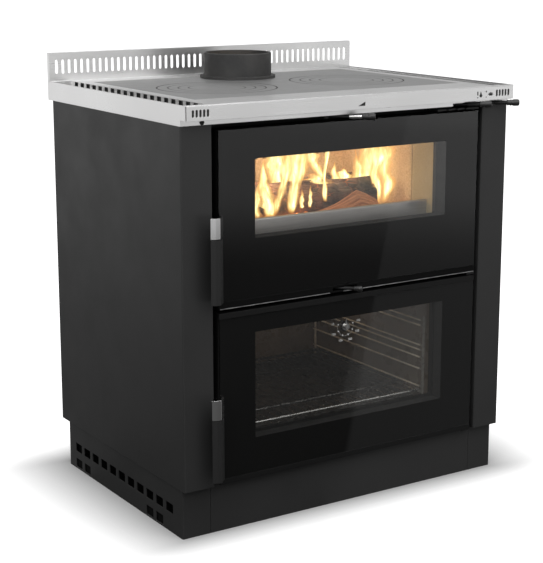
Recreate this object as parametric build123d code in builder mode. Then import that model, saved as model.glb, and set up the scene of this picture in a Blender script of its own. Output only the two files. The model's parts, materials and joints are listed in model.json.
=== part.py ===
from build123d import *
import os
from math import cos, sin, radians

# Wood cookstove with an oven under the fire box. Millimetres, +Z up, front at -Y, right at +X.
# The origin is the centre of the body's footprint on the floor.

# ---- Overall body ----
body_width = 800.0
body_depth = 564.0
work_height = 860.0
body_bottom = 103.0
rim_height = 40.0
casing_sheet = 2.0
fold_radius = 3.0
fit_gap = 0.5
cut_over = 1.0

# ---- Plinth and floor frame ----
plinth_side_inset = 4.0
plinth_front_recess = 17.0
plinth_back_recess = 30.0
base_plate_thick = 3.0
kick_seam = 1.0
kick_flange = 12.0
vent_width = 30.0
vent_height = 20.0
vent_corner = 1.5
vent_pitch = 41.7
vent_count = 11
vent_shift_back = 4.0
vent_upper_z = 50.0
vent_lower_z = 14.0
lower_vent_columns = (-4, -3, 4, 5)
skid_width = 40.0
skid_height = 30.0
skid_wall = 3.0
skid_side_gap = 1.0
post_size = 30.0
post_end_inset = 14.0

# ---- Side panels, back panel, front frame ----
stile_width = 68.0
door_recess = 39.0
rear_flange = 20.0
front_frame_thick = 4.0
back_slot_width = 6.0
back_slot_height = 60.0
back_slot_pitch = 18.0
back_slot_count = 12
back_slot_edge = 90.0
slot_end_flat = 0.2

# ---- Doors ----
door_side_gap = 12.0
door_low_gap = 1.0
door_mid_gap = 8.0
door_top_gap = 11.5
oven_door_height = 348.0
glass_thick = 4.0
glass_proud = 1.0
door_sheet = 2.0
door_back_gap = 4.5
glass_edge_gap = 1.0
fire_band_low = 14.6
oven_band = 11.0
window_side_margin = 84.0
fire_window_rise = 133.0
fire_window_height = 155.6
oven_window_rise = 84.0
oven_window_height = 217.0
oven_pane_lip = 6.0
gasket_width = 12.0
gasket_gap = 0.4
fire_gasket_side = 20.0
fire_gasket_low = 18.0
fire_gasket_high = 12.0
oven_gasket_margin = 10.0

# ---- Hinges ----
hinge_inset = 7.0
hinge_setback = 12.0
hinge_pin_radius = 4.0
hinge_running_gap = 0.05
hinge_boss = 14.0
hinge_boss_height = 22.0
hinge_bore_depth = 18.0
hinge_pin_reach = 16.0
hinge_plate_thick = 4.0
hinge_plate_gap = 2.5
hinge_plate_overlap = 10.0
hinge_plate_margin = 8.0
top_hinge_plate_length = 110.0
top_hinge_slot_width = 16.0
top_hinge_slot_depth = 4.0
top_hinge_slot_pitch = 24.0
top_hinge_slot_count = 3

# ---- Handles: a folded pull profile, black grip below and chrome latch piece above ----
handle_raise = 19.0
grip_height = 126.0
latch_height = 40.0
latch_gap = 2.0
pull_sheet = 2.5
pull_flange_depth = 21.0
pull_reach = 34.0
pull_web_front = 17.0
pull_nose_in = 16.0
pull_flat = 10.0
pull_tip_out = 8.0
pull_tip_back = 5.5
latch_web_gap = 3.0
latch_pin_radius = 2.0
latch_pin_rise = 5.0
latch_pin_setback = 5.5
latch_ear_thick = 3.5
latch_ear_gap = 0.4
latch_ear_rim = 4.0
latch_ear_root = 12.0
latch_swing_gap = 1.3
tongue_thick = 3.5
tongue_height = 12.0
tongue_rise = 20.0
tongue_root = 12.0
tongue_nose_depth = 5.0
tongue_nose_drop = 6.0
tongue_end_gap = 9.0
keeper_gap = 1.2
keeper_height = 12.0
keeper_depth = 18.0
keeper_side_gap = 1.0

# ---- Control levers ----
lever_rod_radius = 2.2
lever_eye_radius = 7.0
lever_eye_thick = 4.8
lever_eye_overlap = 2.0
lever_pin_radius = 3.0
lever_pin_head_radius = 5.5
lever_pin_head = 1.5
lever_pin_clear = 0.6
lever_running_gap = 0.05
lever_knob_radius = 7.2
lever_knob_length = 42.0
lever_knob_round = 1.6
lever_plate_thick = 2.4
lever_plate_gap = 1.5
lever_bracket_half = 12.0
lever_notch_start = 2.0
lever_notch_end = 61.0
lever_notch_gap = 1.0
air_lever_x = -60.0
air_lever_setback = 19.0
air_lever_drop = 3.5
air_lever_reach = 99.6
air_lever_angle = 35.4
flue_lever_inset = 83.6
damper_setback = 16.0
damper_lever_rise = 2.7
flue_lever_reach = 95.0
flue_lever_angle = 27.0
oven_lever_inset = 8.0
oven_lever_reach = 94.3
oven_lever_angle = 32.0
primary_lever_x = -50.0
primary_lever_setback = 17.0
primary_lever_reach = 71.5
primary_lever_angle = 42.0
primary_lever_rise = 7.2
primary_knob_radius = 6.0
primary_knob_length = 28.0
primary_slot_width = 60.0
primary_slot_height = 7.4
primary_slot_lead = 2.0
primary_eye_radius = 6.0
primary_pin_radius = 2.5
primary_pin_stand = 3.0

# ---- Top frame, fascia bar, splashback ----
top_sheet = 2.0
rim_front_overhang = 18.0
rim_back_overhang = 22.0
rim_step = 11.0
rim_front_setback = 2.0
rim_side_width = 75.0
rim_front_width = 92.0
rim_back_width = 72.0
hob_joint = 1.0
air_slot_length = 34.0
air_slot_width = 17.5
air_slot_pitch = 28.8
air_slot_margin = 32.0
air_slot_round = 2.0
air_slot_inset = 22.0
air_slot_shift = 20.0
fascia_sheet = 2.0
fascia_proud = 2.5
fascia_height = 28.1
fascia_drop = 1.4
fascia_end_gap = 0.7
fascia_stud_radius = 3.0
fascia_stud_inset = 40.0
fascia_slot_width = 5.0
fascia_slot_height = 14.0
fascia_slot_pitch = 8.0
fascia_slot_count = 5
fascia_slot_inset = 13.3
screw_radius = 4.8
screw_head = 3.0
fascia_screw_inset = 46.5
fascia_screw_rise = 5.0
back_screw_inset = 30.0
splash_height = 61.5
splash_sheet = 1.5
splash_depth = 10.0
splash_slot_width = 6.5
splash_slot_height = 30.0
splash_slot_pitch = 15.0
splash_slot_margin = 14.0
splash_slot_rise = 16.0

# ---- Hob, rings, flue collar ----
hob_thick = 10.0
zone_bridge_half = 40.0
zone_side_margin = 35.0
zone_front_inset = 188.0
ring_widths = (23.0, 21.5, 21.5)
ring_gap = 0.8
ring_ledge = 5.0
ring_edge = 0.6
lifting_slot_length = 14.0
lifting_slot_width = 4.5
lifting_slot_depth = 4.0
flue_back_inset = 65.0
flue_hole_radius = 60.0
collar_radius = 75.0
collar_bore_radius = 70.0
collar_flange_radius = 84.0
collar_flange_thick = 6.0
collar_height = 56.0
collar_lip_round = 2.2

# ---- Fire box ----
plate = 4.0
mouth_window_gap = 2.0
mouth_sill = 6.0
mouth_top_margin = 17.4
hob_ledge_width = 12.0
hob_ledge_side = 7.0
hearth_below_window = 17.0
hearth_thick = 10.0
grate_half_width = 128.0
grate_length = 200.0
grate_front_inset = 104.5
grate_ledge = 5.0
grate_slot_length = 56.0
grate_slot_width = 8.0
grate_slot_pitch_x = 78.0
grate_slot_pitch_y = 18.0
grate_slot_columns = 3
grate_slot_rows = 10
brick_thick = 30.0
brick_height = 172.0
brick_front_length = 70.0
brick_side_length = 359.5
brick_joint = 1.5
guard_side_gap = 2.0
guard_front_inset = 18.5
guard_lift = 8.0
guard_height = 33.0
guard_sheet = 3.0
guard_roll = 4.0
guard_foot_width = 20.0
guard_foot_length = 30.0
guard_foot_inset = 10.0
ash_mouth_half_width = 182.0
ash_mouth_height = 72.0
ash_mouth_drop = 8.0
ash_gap = 3.0
ash_depth = 330.0
ash_sheet = 2.0
ash_front_lap = 6.0

# ---- Oven ----
oven_half_width = 232.0
oven_floor_rise = 54.0
oven_height = 270.0
oven_depth = 434.0
oven_sheet = 2.0
rack_rail_radius = 1.75
rack_post_radius = 2.5
rack_peg_radius = 1.5
rack_wall_gap = 1.5
rack_weld = 0.5
rack_front_gap = 13.0
rack_back_gap = 7.0
rack_rail_rises = (33.0, 45.0, 84.5, 110.5, 127.0, 138.0, 182.0, 194.0)
rack_post_margin = 10.0
shelf_frame_radius = 3.0
shelf_wire_radius = 1.25
shelf_wire_count = 19
shelf_wire_margin = 12.0
shelf_front_gap = 19.0
shelf_back_gap = 25.0
shelf_cross_bar_gap = 70.0
tray_side_gap = 18.0
tray_front_gap = 28.0
tray_back_gap = 9.0
tray_height = 24.0
tray_sheet = 1.5
tray_rim = 6.0

# ---- Thermometer ----
thermometer_drop = 28.0
thermometer_bezel_radius = 8.0
thermometer_bezel_thick = 1.5
thermometer_neck_radius = 4.0
thermometer_neck_gap = 0.2
thermometer_coil_radius = 11.0
thermometer_coil_depth = 10.0
pointer_shaft_radius = 1.5
pointer_shaft_gap = 0.05
pointer_hub_radius = 5.5
pointer_hub_depth = 6.0
pointer_length = 17.0
pointer_tail = 8.5
pointer_width = 2.4
pointer_thick = 1.0
pointer_clearance = 0.5

# ---- Planes and levels that follow from the sizes above ----
half_w = body_width / 2
front_y = -body_depth / 2
back_y = body_depth / 2
body_top = work_height - rim_height
plinth_top = body_bottom - base_plate_thick
plinth_half_w = half_w - plinth_side_inset
plinth_front = front_y + plinth_front_recess
plinth_back = back_y - plinth_back_recess
stile_x = half_w - stile_width
door_half_w = stile_x - door_side_gap
frame_face = front_y + door_recess
frame_back = frame_face + front_frame_thick
inner_half_w = half_w - fold_radius - fit_gap
glass_face = front_y - glass_proud
glass_back = glass_face + glass_thick
door_back = frame_face - door_back_gap
kick_half_w = stile_x + kick_seam
hob_seat = work_height - hob_thick
hinge_x = door_half_w - hinge_inset
hinge_y = glass_face + hinge_setback
rim_front = front_y - rim_front_overhang
rim_back = back_y + rim_back_overhang
rim_step_z = body_top + rim_step
lip_back = front_y + top_sheet
oven_door_bottom = body_bottom + door_low_gap
oven_door_top = oven_door_bottom + oven_door_height
fire_door_bottom = oven_door_top + door_mid_gap
fire_door_top = body_top - door_top_gap
window_half_w = door_half_w - window_side_margin
fire_window_z = (fire_door_bottom + fire_window_rise,
                 fire_door_bottom + fire_window_rise + fire_window_height)
oven_window_z = (oven_door_bottom + oven_window_rise,
                 oven_door_bottom + oven_window_rise + oven_window_height)
hob_half_w = half_w - rim_side_width
hob_front = rim_front + rim_front_width
hob_back = rim_back - rim_back_width
zone_y = hob_front + zone_front_inset
zone_radius = (hob_half_w - zone_bridge_half - zone_side_margin) / 2
zone_offset_x = zone_bridge_half + zone_radius
ring_boundaries = [zone_radius - sum(ring_widths[:count]) for count in range(len(ring_widths) + 1)]
flue_y = hob_back - flue_back_inset
hearth_top = fire_window_z[0] - hearth_below_window
hearth_bottom = hearth_top - hearth_thick
mouth_half_w = window_half_w + mouth_window_gap
mouth_z = (hearth_top + mouth_sill, fire_window_z[1] + mouth_top_margin)
ash_mouth_z = (hearth_bottom - ash_mouth_drop - ash_mouth_height, hearth_bottom - ash_mouth_drop)
firebox_floor = ash_mouth_z[0] - plate
firebox_half_w = mouth_half_w + brick_thick + plate
firebox_back = hob_back + plate
oven_floor = oven_door_bottom + oven_floor_rise
oven_top = oven_floor + oven_height
oven_back = frame_back + oven_depth
thermometer_z = oven_window_z[1] - thermometer_drop
air_lever_z = body_top - air_lever_drop
damper_lever_z = body_top + damper_lever_rise
primary_lever_z = fire_door_bottom + primary_lever_rise
flue_lever_x = stile_x - flue_lever_inset
oven_lever_x = stile_x - oven_lever_inset
air_lever_pivot = (air_lever_x, front_y + air_lever_setback)
flue_lever_pivot = (flue_lever_x, front_y + damper_setback)
oven_lever_pivot = (oven_lever_x, front_y + damper_setback)
primary_lever_pivot = (primary_lever_x, glass_back + primary_lever_setback)


def both(half):
    """The (low, high) pair of a size that is centred on the middle plane."""
    return (-half, half)


def block(x, y, z, mode=Mode.ADD):
    """A box that spans x, y and z, each a (low, high) pair."""
    with Locations(((x[0] + x[1]) / 2, (y[0] + y[1]) / 2, (z[0] + z[1]) / 2)):
        Box(x[1] - x[0], y[1] - y[0], z[1] - z[0], mode=mode)


def bar(start, end, radius, mode=Mode.ADD):
    """A round bar from start to end."""
    run = Vector(*end) - Vector(*start)
    with BuildSketch(Plane(origin=start, z_dir=run)) as outline:
        Circle(radius)
    extrude(outline.sketch, amount=run.length, mode=mode)


def folded(points, sheet, z):
    """An upright sheet that follows the points in plan, with its thickness on their right side."""
    with BuildSketch(Plane.XY.offset(z[0])) as outline:
        with BuildLine():
            FilletPolyline(*points, radius=fold_radius)
            offset(amount=sheet, side=Side.RIGHT)
        make_face()
    extrude(outline.sketch, amount=z[1] - z[0])


def slots(plane, centre, pitch, count, size, corner):
    """A row of rounded slots cut right through the open part's sheet, along the plane's first axis."""
    with BuildSketch(plane) as outline:
        with Locations(centre):
            with GridLocations(pitch, pitch, count, 1):
                RectangleRounded(size[0], size[1], corner)
    extrude(outline.sketch, amount=casing_sheet + cut_over, both=True, mode=Mode.SUBTRACT)


# ---- Floor frame: three box-section skids with posts up to the base plate ----
skid_side_x = plinth_half_w - casing_sheet - skid_side_gap - skid_width / 2
skid_front = plinth_front + casing_sheet + fit_gap
skid_back = plinth_back - casing_sheet - fit_gap
with BuildPart() as floor_frame:
    for skid_x in (-skid_side_x, 0, skid_side_x):
        with BuildSketch(Plane.XZ.offset(-skid_back)):
            with Locations((skid_x, skid_height / 2)):
                Rectangle(skid_width, skid_height)
                Rectangle(skid_width - 2 * skid_wall, skid_height - 2 * skid_wall, mode=Mode.SUBTRACT)
        extrude(amount=skid_back - skid_front)
        for post_y in (skid_front + post_end_inset, skid_back - post_end_inset - post_size):
            post_x = (skid_x - post_size / 2, skid_x + post_size / 2)
            block(post_x, (post_y, post_y + post_size), (skid_height, plinth_top))

# ---- Plinth ----
vent_size = (vent_width, vent_height)
vent_mid_y = (plinth_front + plinth_back) / 2 + vent_shift_back
with BuildPart() as plinth_right:
    plinth_path = [(plinth_half_w, plinth_back), (plinth_half_w, plinth_front), (kick_half_w, plinth_front)]
    folded(plinth_path, casing_sheet, (0, plinth_top))
    vent_plane = Plane.YZ.offset(plinth_half_w)
    slots(vent_plane, (vent_mid_y, vent_upper_z), vent_pitch, vent_count, vent_size, vent_corner)
    for column in lower_vent_columns:
        slots(vent_plane, (vent_mid_y + column * vent_pitch, vent_lower_z), vent_pitch, 1, vent_size,
              vent_corner)

with BuildPart() as plinth_left:
    mirror(plinth_right.part, about=Plane.YZ)

kick_x = both(kick_half_w - kick_seam)
with BuildPart() as plinth_kick_panel:
    block(kick_x, (plinth_front, plinth_front + casing_sheet), (0, plinth_top))
    block(kick_x, (plinth_front, plinth_front + kick_flange), (plinth_top - casing_sheet, plinth_top))

with BuildPart() as plinth_back_sheet:
    block(both(plinth_half_w - casing_sheet - fit_gap), (plinth_back - casing_sheet, plinth_back),
          (0, plinth_top))
    slots(Plane.XZ.offset(-plinth_back), (0, vent_upper_z), vent_pitch, vent_count, vent_size,
          vent_corner)

with BuildPart() as base_plate:
    block(both(plinth_half_w), (plinth_front, plinth_back), (plinth_top, body_bottom))

# ---- Casing ----
with BuildPart() as side_panel_right:
    side_path = [
        (half_w - rear_flange, back_y),
        (half_w, back_y),
        (half_w, front_y),
        (stile_x, front_y),
        (stile_x, frame_face),
    ]
    folded(side_path, casing_sheet, (body_bottom, body_top))
    block((stile_x + casing_sheet, half_w - fold_radius), (front_y + fold_radius, frame_face),
          (body_bottom, body_bottom + casing_sheet))

with BuildPart() as side_panel_left:
    mirror(side_panel_right.part, about=Plane.YZ)

back_panel_y = back_y - casing_sheet
back_slot_size = (back_slot_width, back_slot_height)
with BuildPart() as back_panel:
    block(both(inner_half_w), (back_panel_y - casing_sheet, back_panel_y),
          (body_bottom, body_top - fit_gap))
    for slot_z in (body_bottom + back_slot_edge, body_top - back_slot_edge):
        slots(Plane.XZ.offset(-back_panel_y), (0, slot_z), back_slot_pitch, back_slot_count,
              back_slot_size, (back_slot_width - slot_end_flat) / 2)

with BuildPart() as front_frame:
    block(both(inner_half_w), (frame_face, frame_back), (body_bottom, body_top - fit_gap))
    mouth_y = (frame_face - cut_over, frame_back + cut_over)
    block(both(mouth_half_w), mouth_y, mouth_z, Mode.SUBTRACT)
    block(both(ash_mouth_half_width), mouth_y, ash_mouth_z, Mode.SUBTRACT)
    block(both(oven_half_width), mouth_y, (oven_floor, oven_top), Mode.SUBTRACT)

# ---- Fire box ----
box_inner_w = firebox_half_w - plate
with BuildPart() as firebox_shell:
    block(both(firebox_half_w), (frame_back, firebox_back), (firebox_floor, hob_seat))
    block(both(box_inner_w), (frame_back + plate, firebox_back - plate),
          (firebox_floor + plate, hob_seat), Mode.SUBTRACT)
    mouth_y = (frame_back - cut_over, frame_back + plate + cut_over)
    block(both(mouth_half_w), mouth_y, mouth_z, Mode.SUBTRACT)
    block(both(ash_mouth_half_width), mouth_y, ash_mouth_z, Mode.SUBTRACT)
    ledge_z = (hob_seat - plate, hob_seat)
    block(both(hob_half_w - hob_ledge_side), (frame_back, firebox_back), ledge_z)
    block(both(box_inner_w), (hob_front + hob_ledge_width, hob_back - hob_ledge_width), ledge_z,
          Mode.SUBTRACT)

hearth_front = frame_back + plate + fit_gap
hearth_back = firebox_back - plate - fit_gap
grate_y = (hearth_front + grate_front_inset, hearth_front + grate_front_inset + grate_length)
grate_step_z = hearth_bottom + hearth_thick / 2
with BuildPart() as hearth_plate:
    block(both(box_inner_w - fit_gap), (hearth_front, hearth_back), (hearth_bottom, hearth_top))
    block(both(grate_half_width), grate_y, (grate_step_z, hearth_top), Mode.SUBTRACT)
    block(both(grate_half_width - grate_ledge), (grate_y[0] + grate_ledge, grate_y[1] - grate_ledge),
          (hearth_bottom, grate_step_z), Mode.SUBTRACT)

with BuildPart() as fire_grate:
    block(both(grate_half_width - fit_gap), (grate_y[0] + fit_gap, grate_y[1] - fit_gap),
          (grate_step_z, hearth_top))
    with BuildSketch(Plane.XY.offset(grate_step_z)):
        with Locations((0, (grate_y[0] + grate_y[1]) / 2)):
            with GridLocations(grate_slot_pitch_x, grate_slot_pitch_y, grate_slot_columns,
                               grate_slot_rows):
                SlotOverall(grate_slot_length, grate_slot_width)
    extrude(amount=hearth_thick, mode=Mode.SUBTRACT)

brick_z = (hearth_top, hearth_top + brick_height)
brick_seam_y = hearth_front + brick_front_length
brick_back = hearth_front + brick_side_length
with BuildPart() as side_firebricks:
    for brick_x in ((mouth_half_w, box_inner_w - fit_gap), (fit_gap - box_inner_w, -mouth_half_w)):
        block(brick_x, (hearth_front, brick_seam_y), brick_z)
        block(brick_x, (brick_seam_y + brick_joint, brick_back), brick_z)

with BuildPart() as back_firebricks:
    back_brick_x = mouth_half_w - fit_gap
    for brick_x in ((-back_brick_x, -brick_joint / 2), (brick_joint / 2, back_brick_x)):
        block(brick_x, (brick_back - brick_thick, brick_back), brick_z)

guard_half_w = mouth_half_w - guard_side_gap
guard_y = (hearth_front + guard_front_inset, hearth_front + guard_front_inset + guard_sheet)
guard_bottom = hearth_top + guard_lift
roll_y = guard_y[0] + guard_roll
roll_z = guard_bottom + guard_height - guard_roll
foot_x = guard_half_w - guard_foot_inset - guard_foot_width
with BuildPart() as log_guard:
    block(both(guard_half_w), guard_y, (guard_bottom, roll_z))
    bar((-guard_half_w, roll_y, roll_z), (guard_half_w, roll_y, roll_z), guard_roll)
    for foot_span in ((foot_x, foot_x + guard_foot_width), (-foot_x - guard_foot_width, -foot_x)):
        block(foot_span, guard_y, (hearth_top, guard_bottom + guard_sheet))
        block(foot_span, (guard_y[0], guard_y[0] + guard_foot_length),
              (hearth_top, hearth_top + guard_sheet))

ash_half_w = ash_mouth_half_width - ash_gap
ash_z = (ash_mouth_z[0], ash_mouth_z[1] - ash_gap)
ash_back = frame_face + ash_depth
with BuildPart() as ash_drawer:
    block(both(ash_half_w), (frame_face, ash_back), ash_z)
    block(both(ash_half_w - ash_sheet), (frame_face, ash_back - ash_sheet),
          (ash_z[0] + ash_sheet, ash_z[1]), Mode.SUBTRACT)
    block(both(ash_mouth_half_width + ash_front_lap), (frame_face - ash_sheet, frame_face),
          (ash_mouth_z[0] - ash_front_lap, ash_mouth_z[1] + ash_front_lap))

# ---- Oven ----
with BuildPart() as oven_liner:
    block(both(oven_half_width + oven_sheet), (frame_back, oven_back + oven_sheet),
          (oven_floor - oven_sheet, oven_top + oven_sheet))
    block(both(oven_half_width), (frame_back, oven_back), (oven_floor, oven_top), Mode.SUBTRACT)

rack_post_x = oven_half_width - rack_wall_gap - rack_post_radius
rack_rail_x = rack_post_x - rack_post_radius - rack_rail_radius + rack_weld
rack_y = (frame_back + rack_front_gap, oven_back - rack_back_gap)
rack_rail_heights = [oven_floor + rise for rise in rack_rail_rises]
post_z = (rack_rail_heights[0] - rack_post_margin, rack_rail_heights[-1] + rack_post_margin)
with BuildPart() as oven_racks:
    rail_y = (rack_y[0] - rack_post_radius, rack_y[1] + rack_post_radius)
    for side_sign in (-1, 1):
        post_x = side_sign * rack_post_x
        rail_x = side_sign * rack_rail_x
        for post_y in rack_y:
            bar((post_x, post_y, post_z[0]), (post_x, post_y, post_z[1]), rack_post_radius)
            for peg_z in (rack_rail_heights[0], rack_rail_heights[-1]):
                bar((post_x, post_y, peg_z), (side_sign * oven_half_width, post_y, peg_z),
                    rack_peg_radius)
        for rail_z in rack_rail_heights:
            bar((rail_x, rail_y[0], rail_z), (rail_x, rail_y[1], rail_z), rack_rail_radius)

shelf_x = rack_rail_x
shelf_y = (frame_back + shelf_front_gap, oven_back - shelf_back_gap)
shelf_z = rack_rail_heights[0] + rack_rail_radius + shelf_frame_radius
wire_pitch = 2 * (shelf_x - shelf_wire_margin) / (shelf_wire_count - 1)
with BuildPart() as wire_shelf:
    for rod_x in (-shelf_x, shelf_x):
        bar((rod_x, shelf_y[0], shelf_z), (rod_x, shelf_y[1], shelf_z), shelf_frame_radius)
    for rod_y in (shelf_y[0], shelf_y[0] + shelf_cross_bar_gap, shelf_y[1]):
        bar((-shelf_x, rod_y, shelf_z), (shelf_x, rod_y, shelf_z), shelf_frame_radius)
    for wire in range(shelf_wire_count):
        wire_x = wire * wire_pitch - shelf_x + shelf_wire_margin
        bar((wire_x, shelf_y[0], shelf_z), (wire_x, shelf_y[1], shelf_z), shelf_wire_radius)

tray_x = both(oven_half_width - tray_side_gap - tray_rim)
tray_y = (frame_back + tray_front_gap + tray_rim, oven_back - tray_back_gap - tray_rim)
tray_top = oven_floor + tray_height
with BuildPart() as baking_tray:
    block(tray_x, tray_y, (oven_floor, tray_top))
    block((tray_x[0] - tray_rim, tray_x[1] + tray_rim), (tray_y[0] - tray_rim, tray_y[1] + tray_rim),
          (tray_top - tray_sheet, tray_top))
    block((tray_x[0] + tray_sheet, tray_x[1] - tray_sheet), (tray_y[0] + tray_sheet, tray_y[1] - tray_sheet),
          (oven_floor + tray_sheet, tray_top), Mode.SUBTRACT)

# ---- Control levers: an eye on a pivot pin, a bright rod and a black knob ----


def lever_point(pivot, angle, reach, z):
    """The point at that reach along a lever that points right and forward by angle."""
    return (pivot[0] + reach * cos(radians(angle)), pivot[1] - reach * sin(radians(angle)), z)


def lever_arm(pivot, angle, reach, z, eye_radius, pin_radius):
    """The eye and the rod, which ends inside the knob."""
    with Locations((pivot[0], pivot[1], z)):
        Cylinder(eye_radius, lever_eye_thick)
    bar(lever_point(pivot, angle, eye_radius - lever_eye_overlap, z),
        lever_point(pivot, angle, reach - lever_knob_round, z), lever_rod_radius)
    with Locations((pivot[0], pivot[1], z)):
        Cylinder(pin_radius + lever_running_gap, lever_eye_thick + 2 * cut_over, mode=Mode.SUBTRACT)


def lever_knob(pivot, angle, reach, z, radius, length):
    """The knob on the rod's end, with rounded edges and a blind bore for the rod."""
    root = lever_point(pivot, angle, reach - length, z)
    tip = lever_point(pivot, angle, reach, z)
    bar(root, tip, radius)
    fillet(edges().filter_by(GeomType.CIRCLE), lever_knob_round)
    bar(root, lever_point(pivot, angle, reach - lever_knob_round, z), lever_rod_radius, Mode.SUBTRACT)


air_lever = (air_lever_pivot, air_lever_angle, air_lever_reach, air_lever_z)
flue_lever = (flue_lever_pivot, flue_lever_angle, flue_lever_reach, damper_lever_z)
oven_lever = (oven_lever_pivot, oven_lever_angle, oven_lever_reach, damper_lever_z)
primary_lever = (primary_lever_pivot, primary_lever_angle, primary_lever_reach, primary_lever_z)

with BuildPart() as secondary_air_lever:
    lever_arm(*air_lever, lever_eye_radius, lever_pin_radius)

with BuildPart() as secondary_air_knob:
    lever_knob(*air_lever, lever_knob_radius, lever_knob_length)

with BuildPart() as flue_damper_lever:
    lever_arm(*flue_lever, lever_eye_radius, lever_pin_radius)

with BuildPart() as flue_damper_knob:
    lever_knob(*flue_lever, lever_knob_radius, lever_knob_length)

with BuildPart() as oven_damper_lever:
    lever_arm(*oven_lever, lever_eye_radius, lever_pin_radius)

with BuildPart() as oven_damper_knob:
    lever_knob(*oven_lever, lever_knob_radius, lever_knob_length)

with BuildPart() as primary_air_lever:
    lever_arm(*primary_lever, primary_eye_radius, primary_pin_radius)

with BuildPart() as primary_air_knob:
    lever_knob(*primary_lever, primary_knob_radius, primary_knob_length)

with BuildPart() as lever_brackets:
    for (pivot_x, pivot_y), _, _, lever_z in (air_lever, flue_lever, oven_lever):
        plate_z = lever_z + lever_eye_thick / 2 + lever_plate_gap
        head_z = lever_z - lever_eye_thick / 2 - lever_pin_clear
        block((pivot_x - lever_bracket_half, pivot_x + lever_bracket_half),
              (lip_back, pivot_y + lever_bracket_half), (plate_z, plate_z + lever_plate_thick))
        bar((pivot_x, pivot_y, plate_z), (pivot_x, pivot_y, head_z), lever_pin_radius)
        bar((pivot_x, pivot_y, head_z), (pivot_x, pivot_y, head_z - lever_pin_head),
            lever_pin_head_radius)

# ---- Top frame: stainless sheet with side skirts, a stepped front and a window for the hob ----
rim_skin = work_height - top_sheet
rim_front_plate = rim_front + rim_front_setback
air_slot_x = hob_half_w + hob_joint + air_slot_inset + air_slot_length / 2
air_slot_y = (rim_front + rim_back) / 2 - air_slot_shift
air_slot_run = rim_back - rim_front - 2 * air_slot_margin - air_slot_width
air_slot_count = int(air_slot_run / air_slot_pitch) + 1
lip_notch_x = (flue_lever_x + lever_notch_start, oven_lever_x + lever_notch_end)
with BuildPart() as top_frame:
    block(both(half_w), (rim_front, rim_back), (rim_skin, work_height))
    for skirt_x in ((half_w - top_sheet, half_w), (-half_w, top_sheet - half_w)):
        block(skirt_x, (front_y, rim_back), (body_top, work_height))
        block(skirt_x, (rim_front, front_y), (rim_step_z, work_height))
    block(both(half_w), (rim_back - top_sheet, rim_back), (body_top, work_height))
    block(both(half_w), (front_y, lip_back), (body_top, rim_step_z + top_sheet))
    block(both(half_w), (rim_front_plate, lip_back), (rim_step_z, rim_step_z + top_sheet))
    block(both(half_w), (rim_front_plate, rim_front_plate + top_sheet), (rim_step_z, work_height))
    block(both(hob_half_w + hob_joint), (hob_front - hob_joint, hob_back + hob_joint),
          (rim_skin - cut_over, work_height + cut_over), Mode.SUBTRACT)
    with BuildSketch(Plane.XY.offset(work_height)):
        with Locations((0, air_slot_y)):
            with GridLocations(2 * air_slot_x, air_slot_pitch, 2, air_slot_count):
                RectangleRounded(air_slot_length, air_slot_width, air_slot_round)
    extrude(amount=-top_sheet - cut_over, mode=Mode.SUBTRACT)
    block(lip_notch_x, (front_y - cut_over, lip_back + cut_over),
          (body_top - cut_over, damper_lever_z + lever_rod_radius + lever_notch_gap), Mode.SUBTRACT)

fascia_face = rim_front - fascia_proud
fascia_half_w = half_w - top_sheet - fascia_end_gap
fascia_top = work_height - fascia_drop
fascia_mid_z = fascia_top - fascia_height / 2
fascia_slot_x = fascia_half_w - fascia_slot_inset - fascia_slot_pitch * (fascia_slot_count - 1) / 2
with BuildPart() as fascia_bar:
    block(both(fascia_half_w), (fascia_face, fascia_face + fascia_sheet),
          (fascia_top - fascia_height, fascia_top))
    for slot_x in (-fascia_slot_x, fascia_slot_x):
        slots(Plane.XZ.offset(-fascia_face), (slot_x, fascia_mid_z), fascia_slot_pitch,
              fascia_slot_count, (fascia_slot_width, fascia_slot_height),
              (fascia_slot_width - slot_end_flat) / 2)
    stud_x = fascia_half_w - fascia_stud_inset
    for middle_x in (-stud_x, 0, stud_x):
        bar((middle_x, fascia_face + fascia_sheet, fascia_mid_z),
            (middle_x, rim_front_plate, fascia_mid_z), fascia_stud_radius)

with BuildPart() as casing_screws:
    lip_screw_x = fascia_screw_inset - half_w
    lip_screw_z = body_top + fascia_screw_rise
    bar((lip_screw_x, front_y - screw_head, lip_screw_z), (lip_screw_x, front_y, lip_screw_z),
        screw_radius)
    back_screw_x = half_w - rear_flange / 2
    for screw_x in (-back_screw_x, back_screw_x):
        for screw_z in (body_bottom + back_screw_inset, (body_bottom + body_top) / 2,
                        body_top - back_screw_inset):
            bar((screw_x, back_y, screw_z), (screw_x, back_y + screw_head, screw_z), screw_radius)

splash_front = rim_back - splash_depth
splash_z = (work_height, work_height + splash_height)
splash_slot_run = body_width - 2 * splash_slot_margin - splash_slot_width
splash_slot_count = int(splash_slot_run / splash_slot_pitch) + 1
with BuildPart() as splashback:
    block(both(half_w), (splash_front, splash_front + splash_sheet), splash_z)
    block(both(half_w), (splash_front, rim_back), (splash_z[1] - splash_sheet, splash_z[1]))
    for end_x in ((-half_w, splash_sheet - half_w), (half_w - splash_sheet, half_w)):
        block(end_x, (splash_front, rim_back), splash_z)
    slots(Plane.XZ.offset(-splash_front),
          (0, work_height + splash_slot_rise + splash_slot_height / 2), splash_slot_pitch,
          splash_slot_count, (splash_slot_width, splash_slot_height),
          (splash_slot_width - slot_end_flat) / 2)

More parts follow.
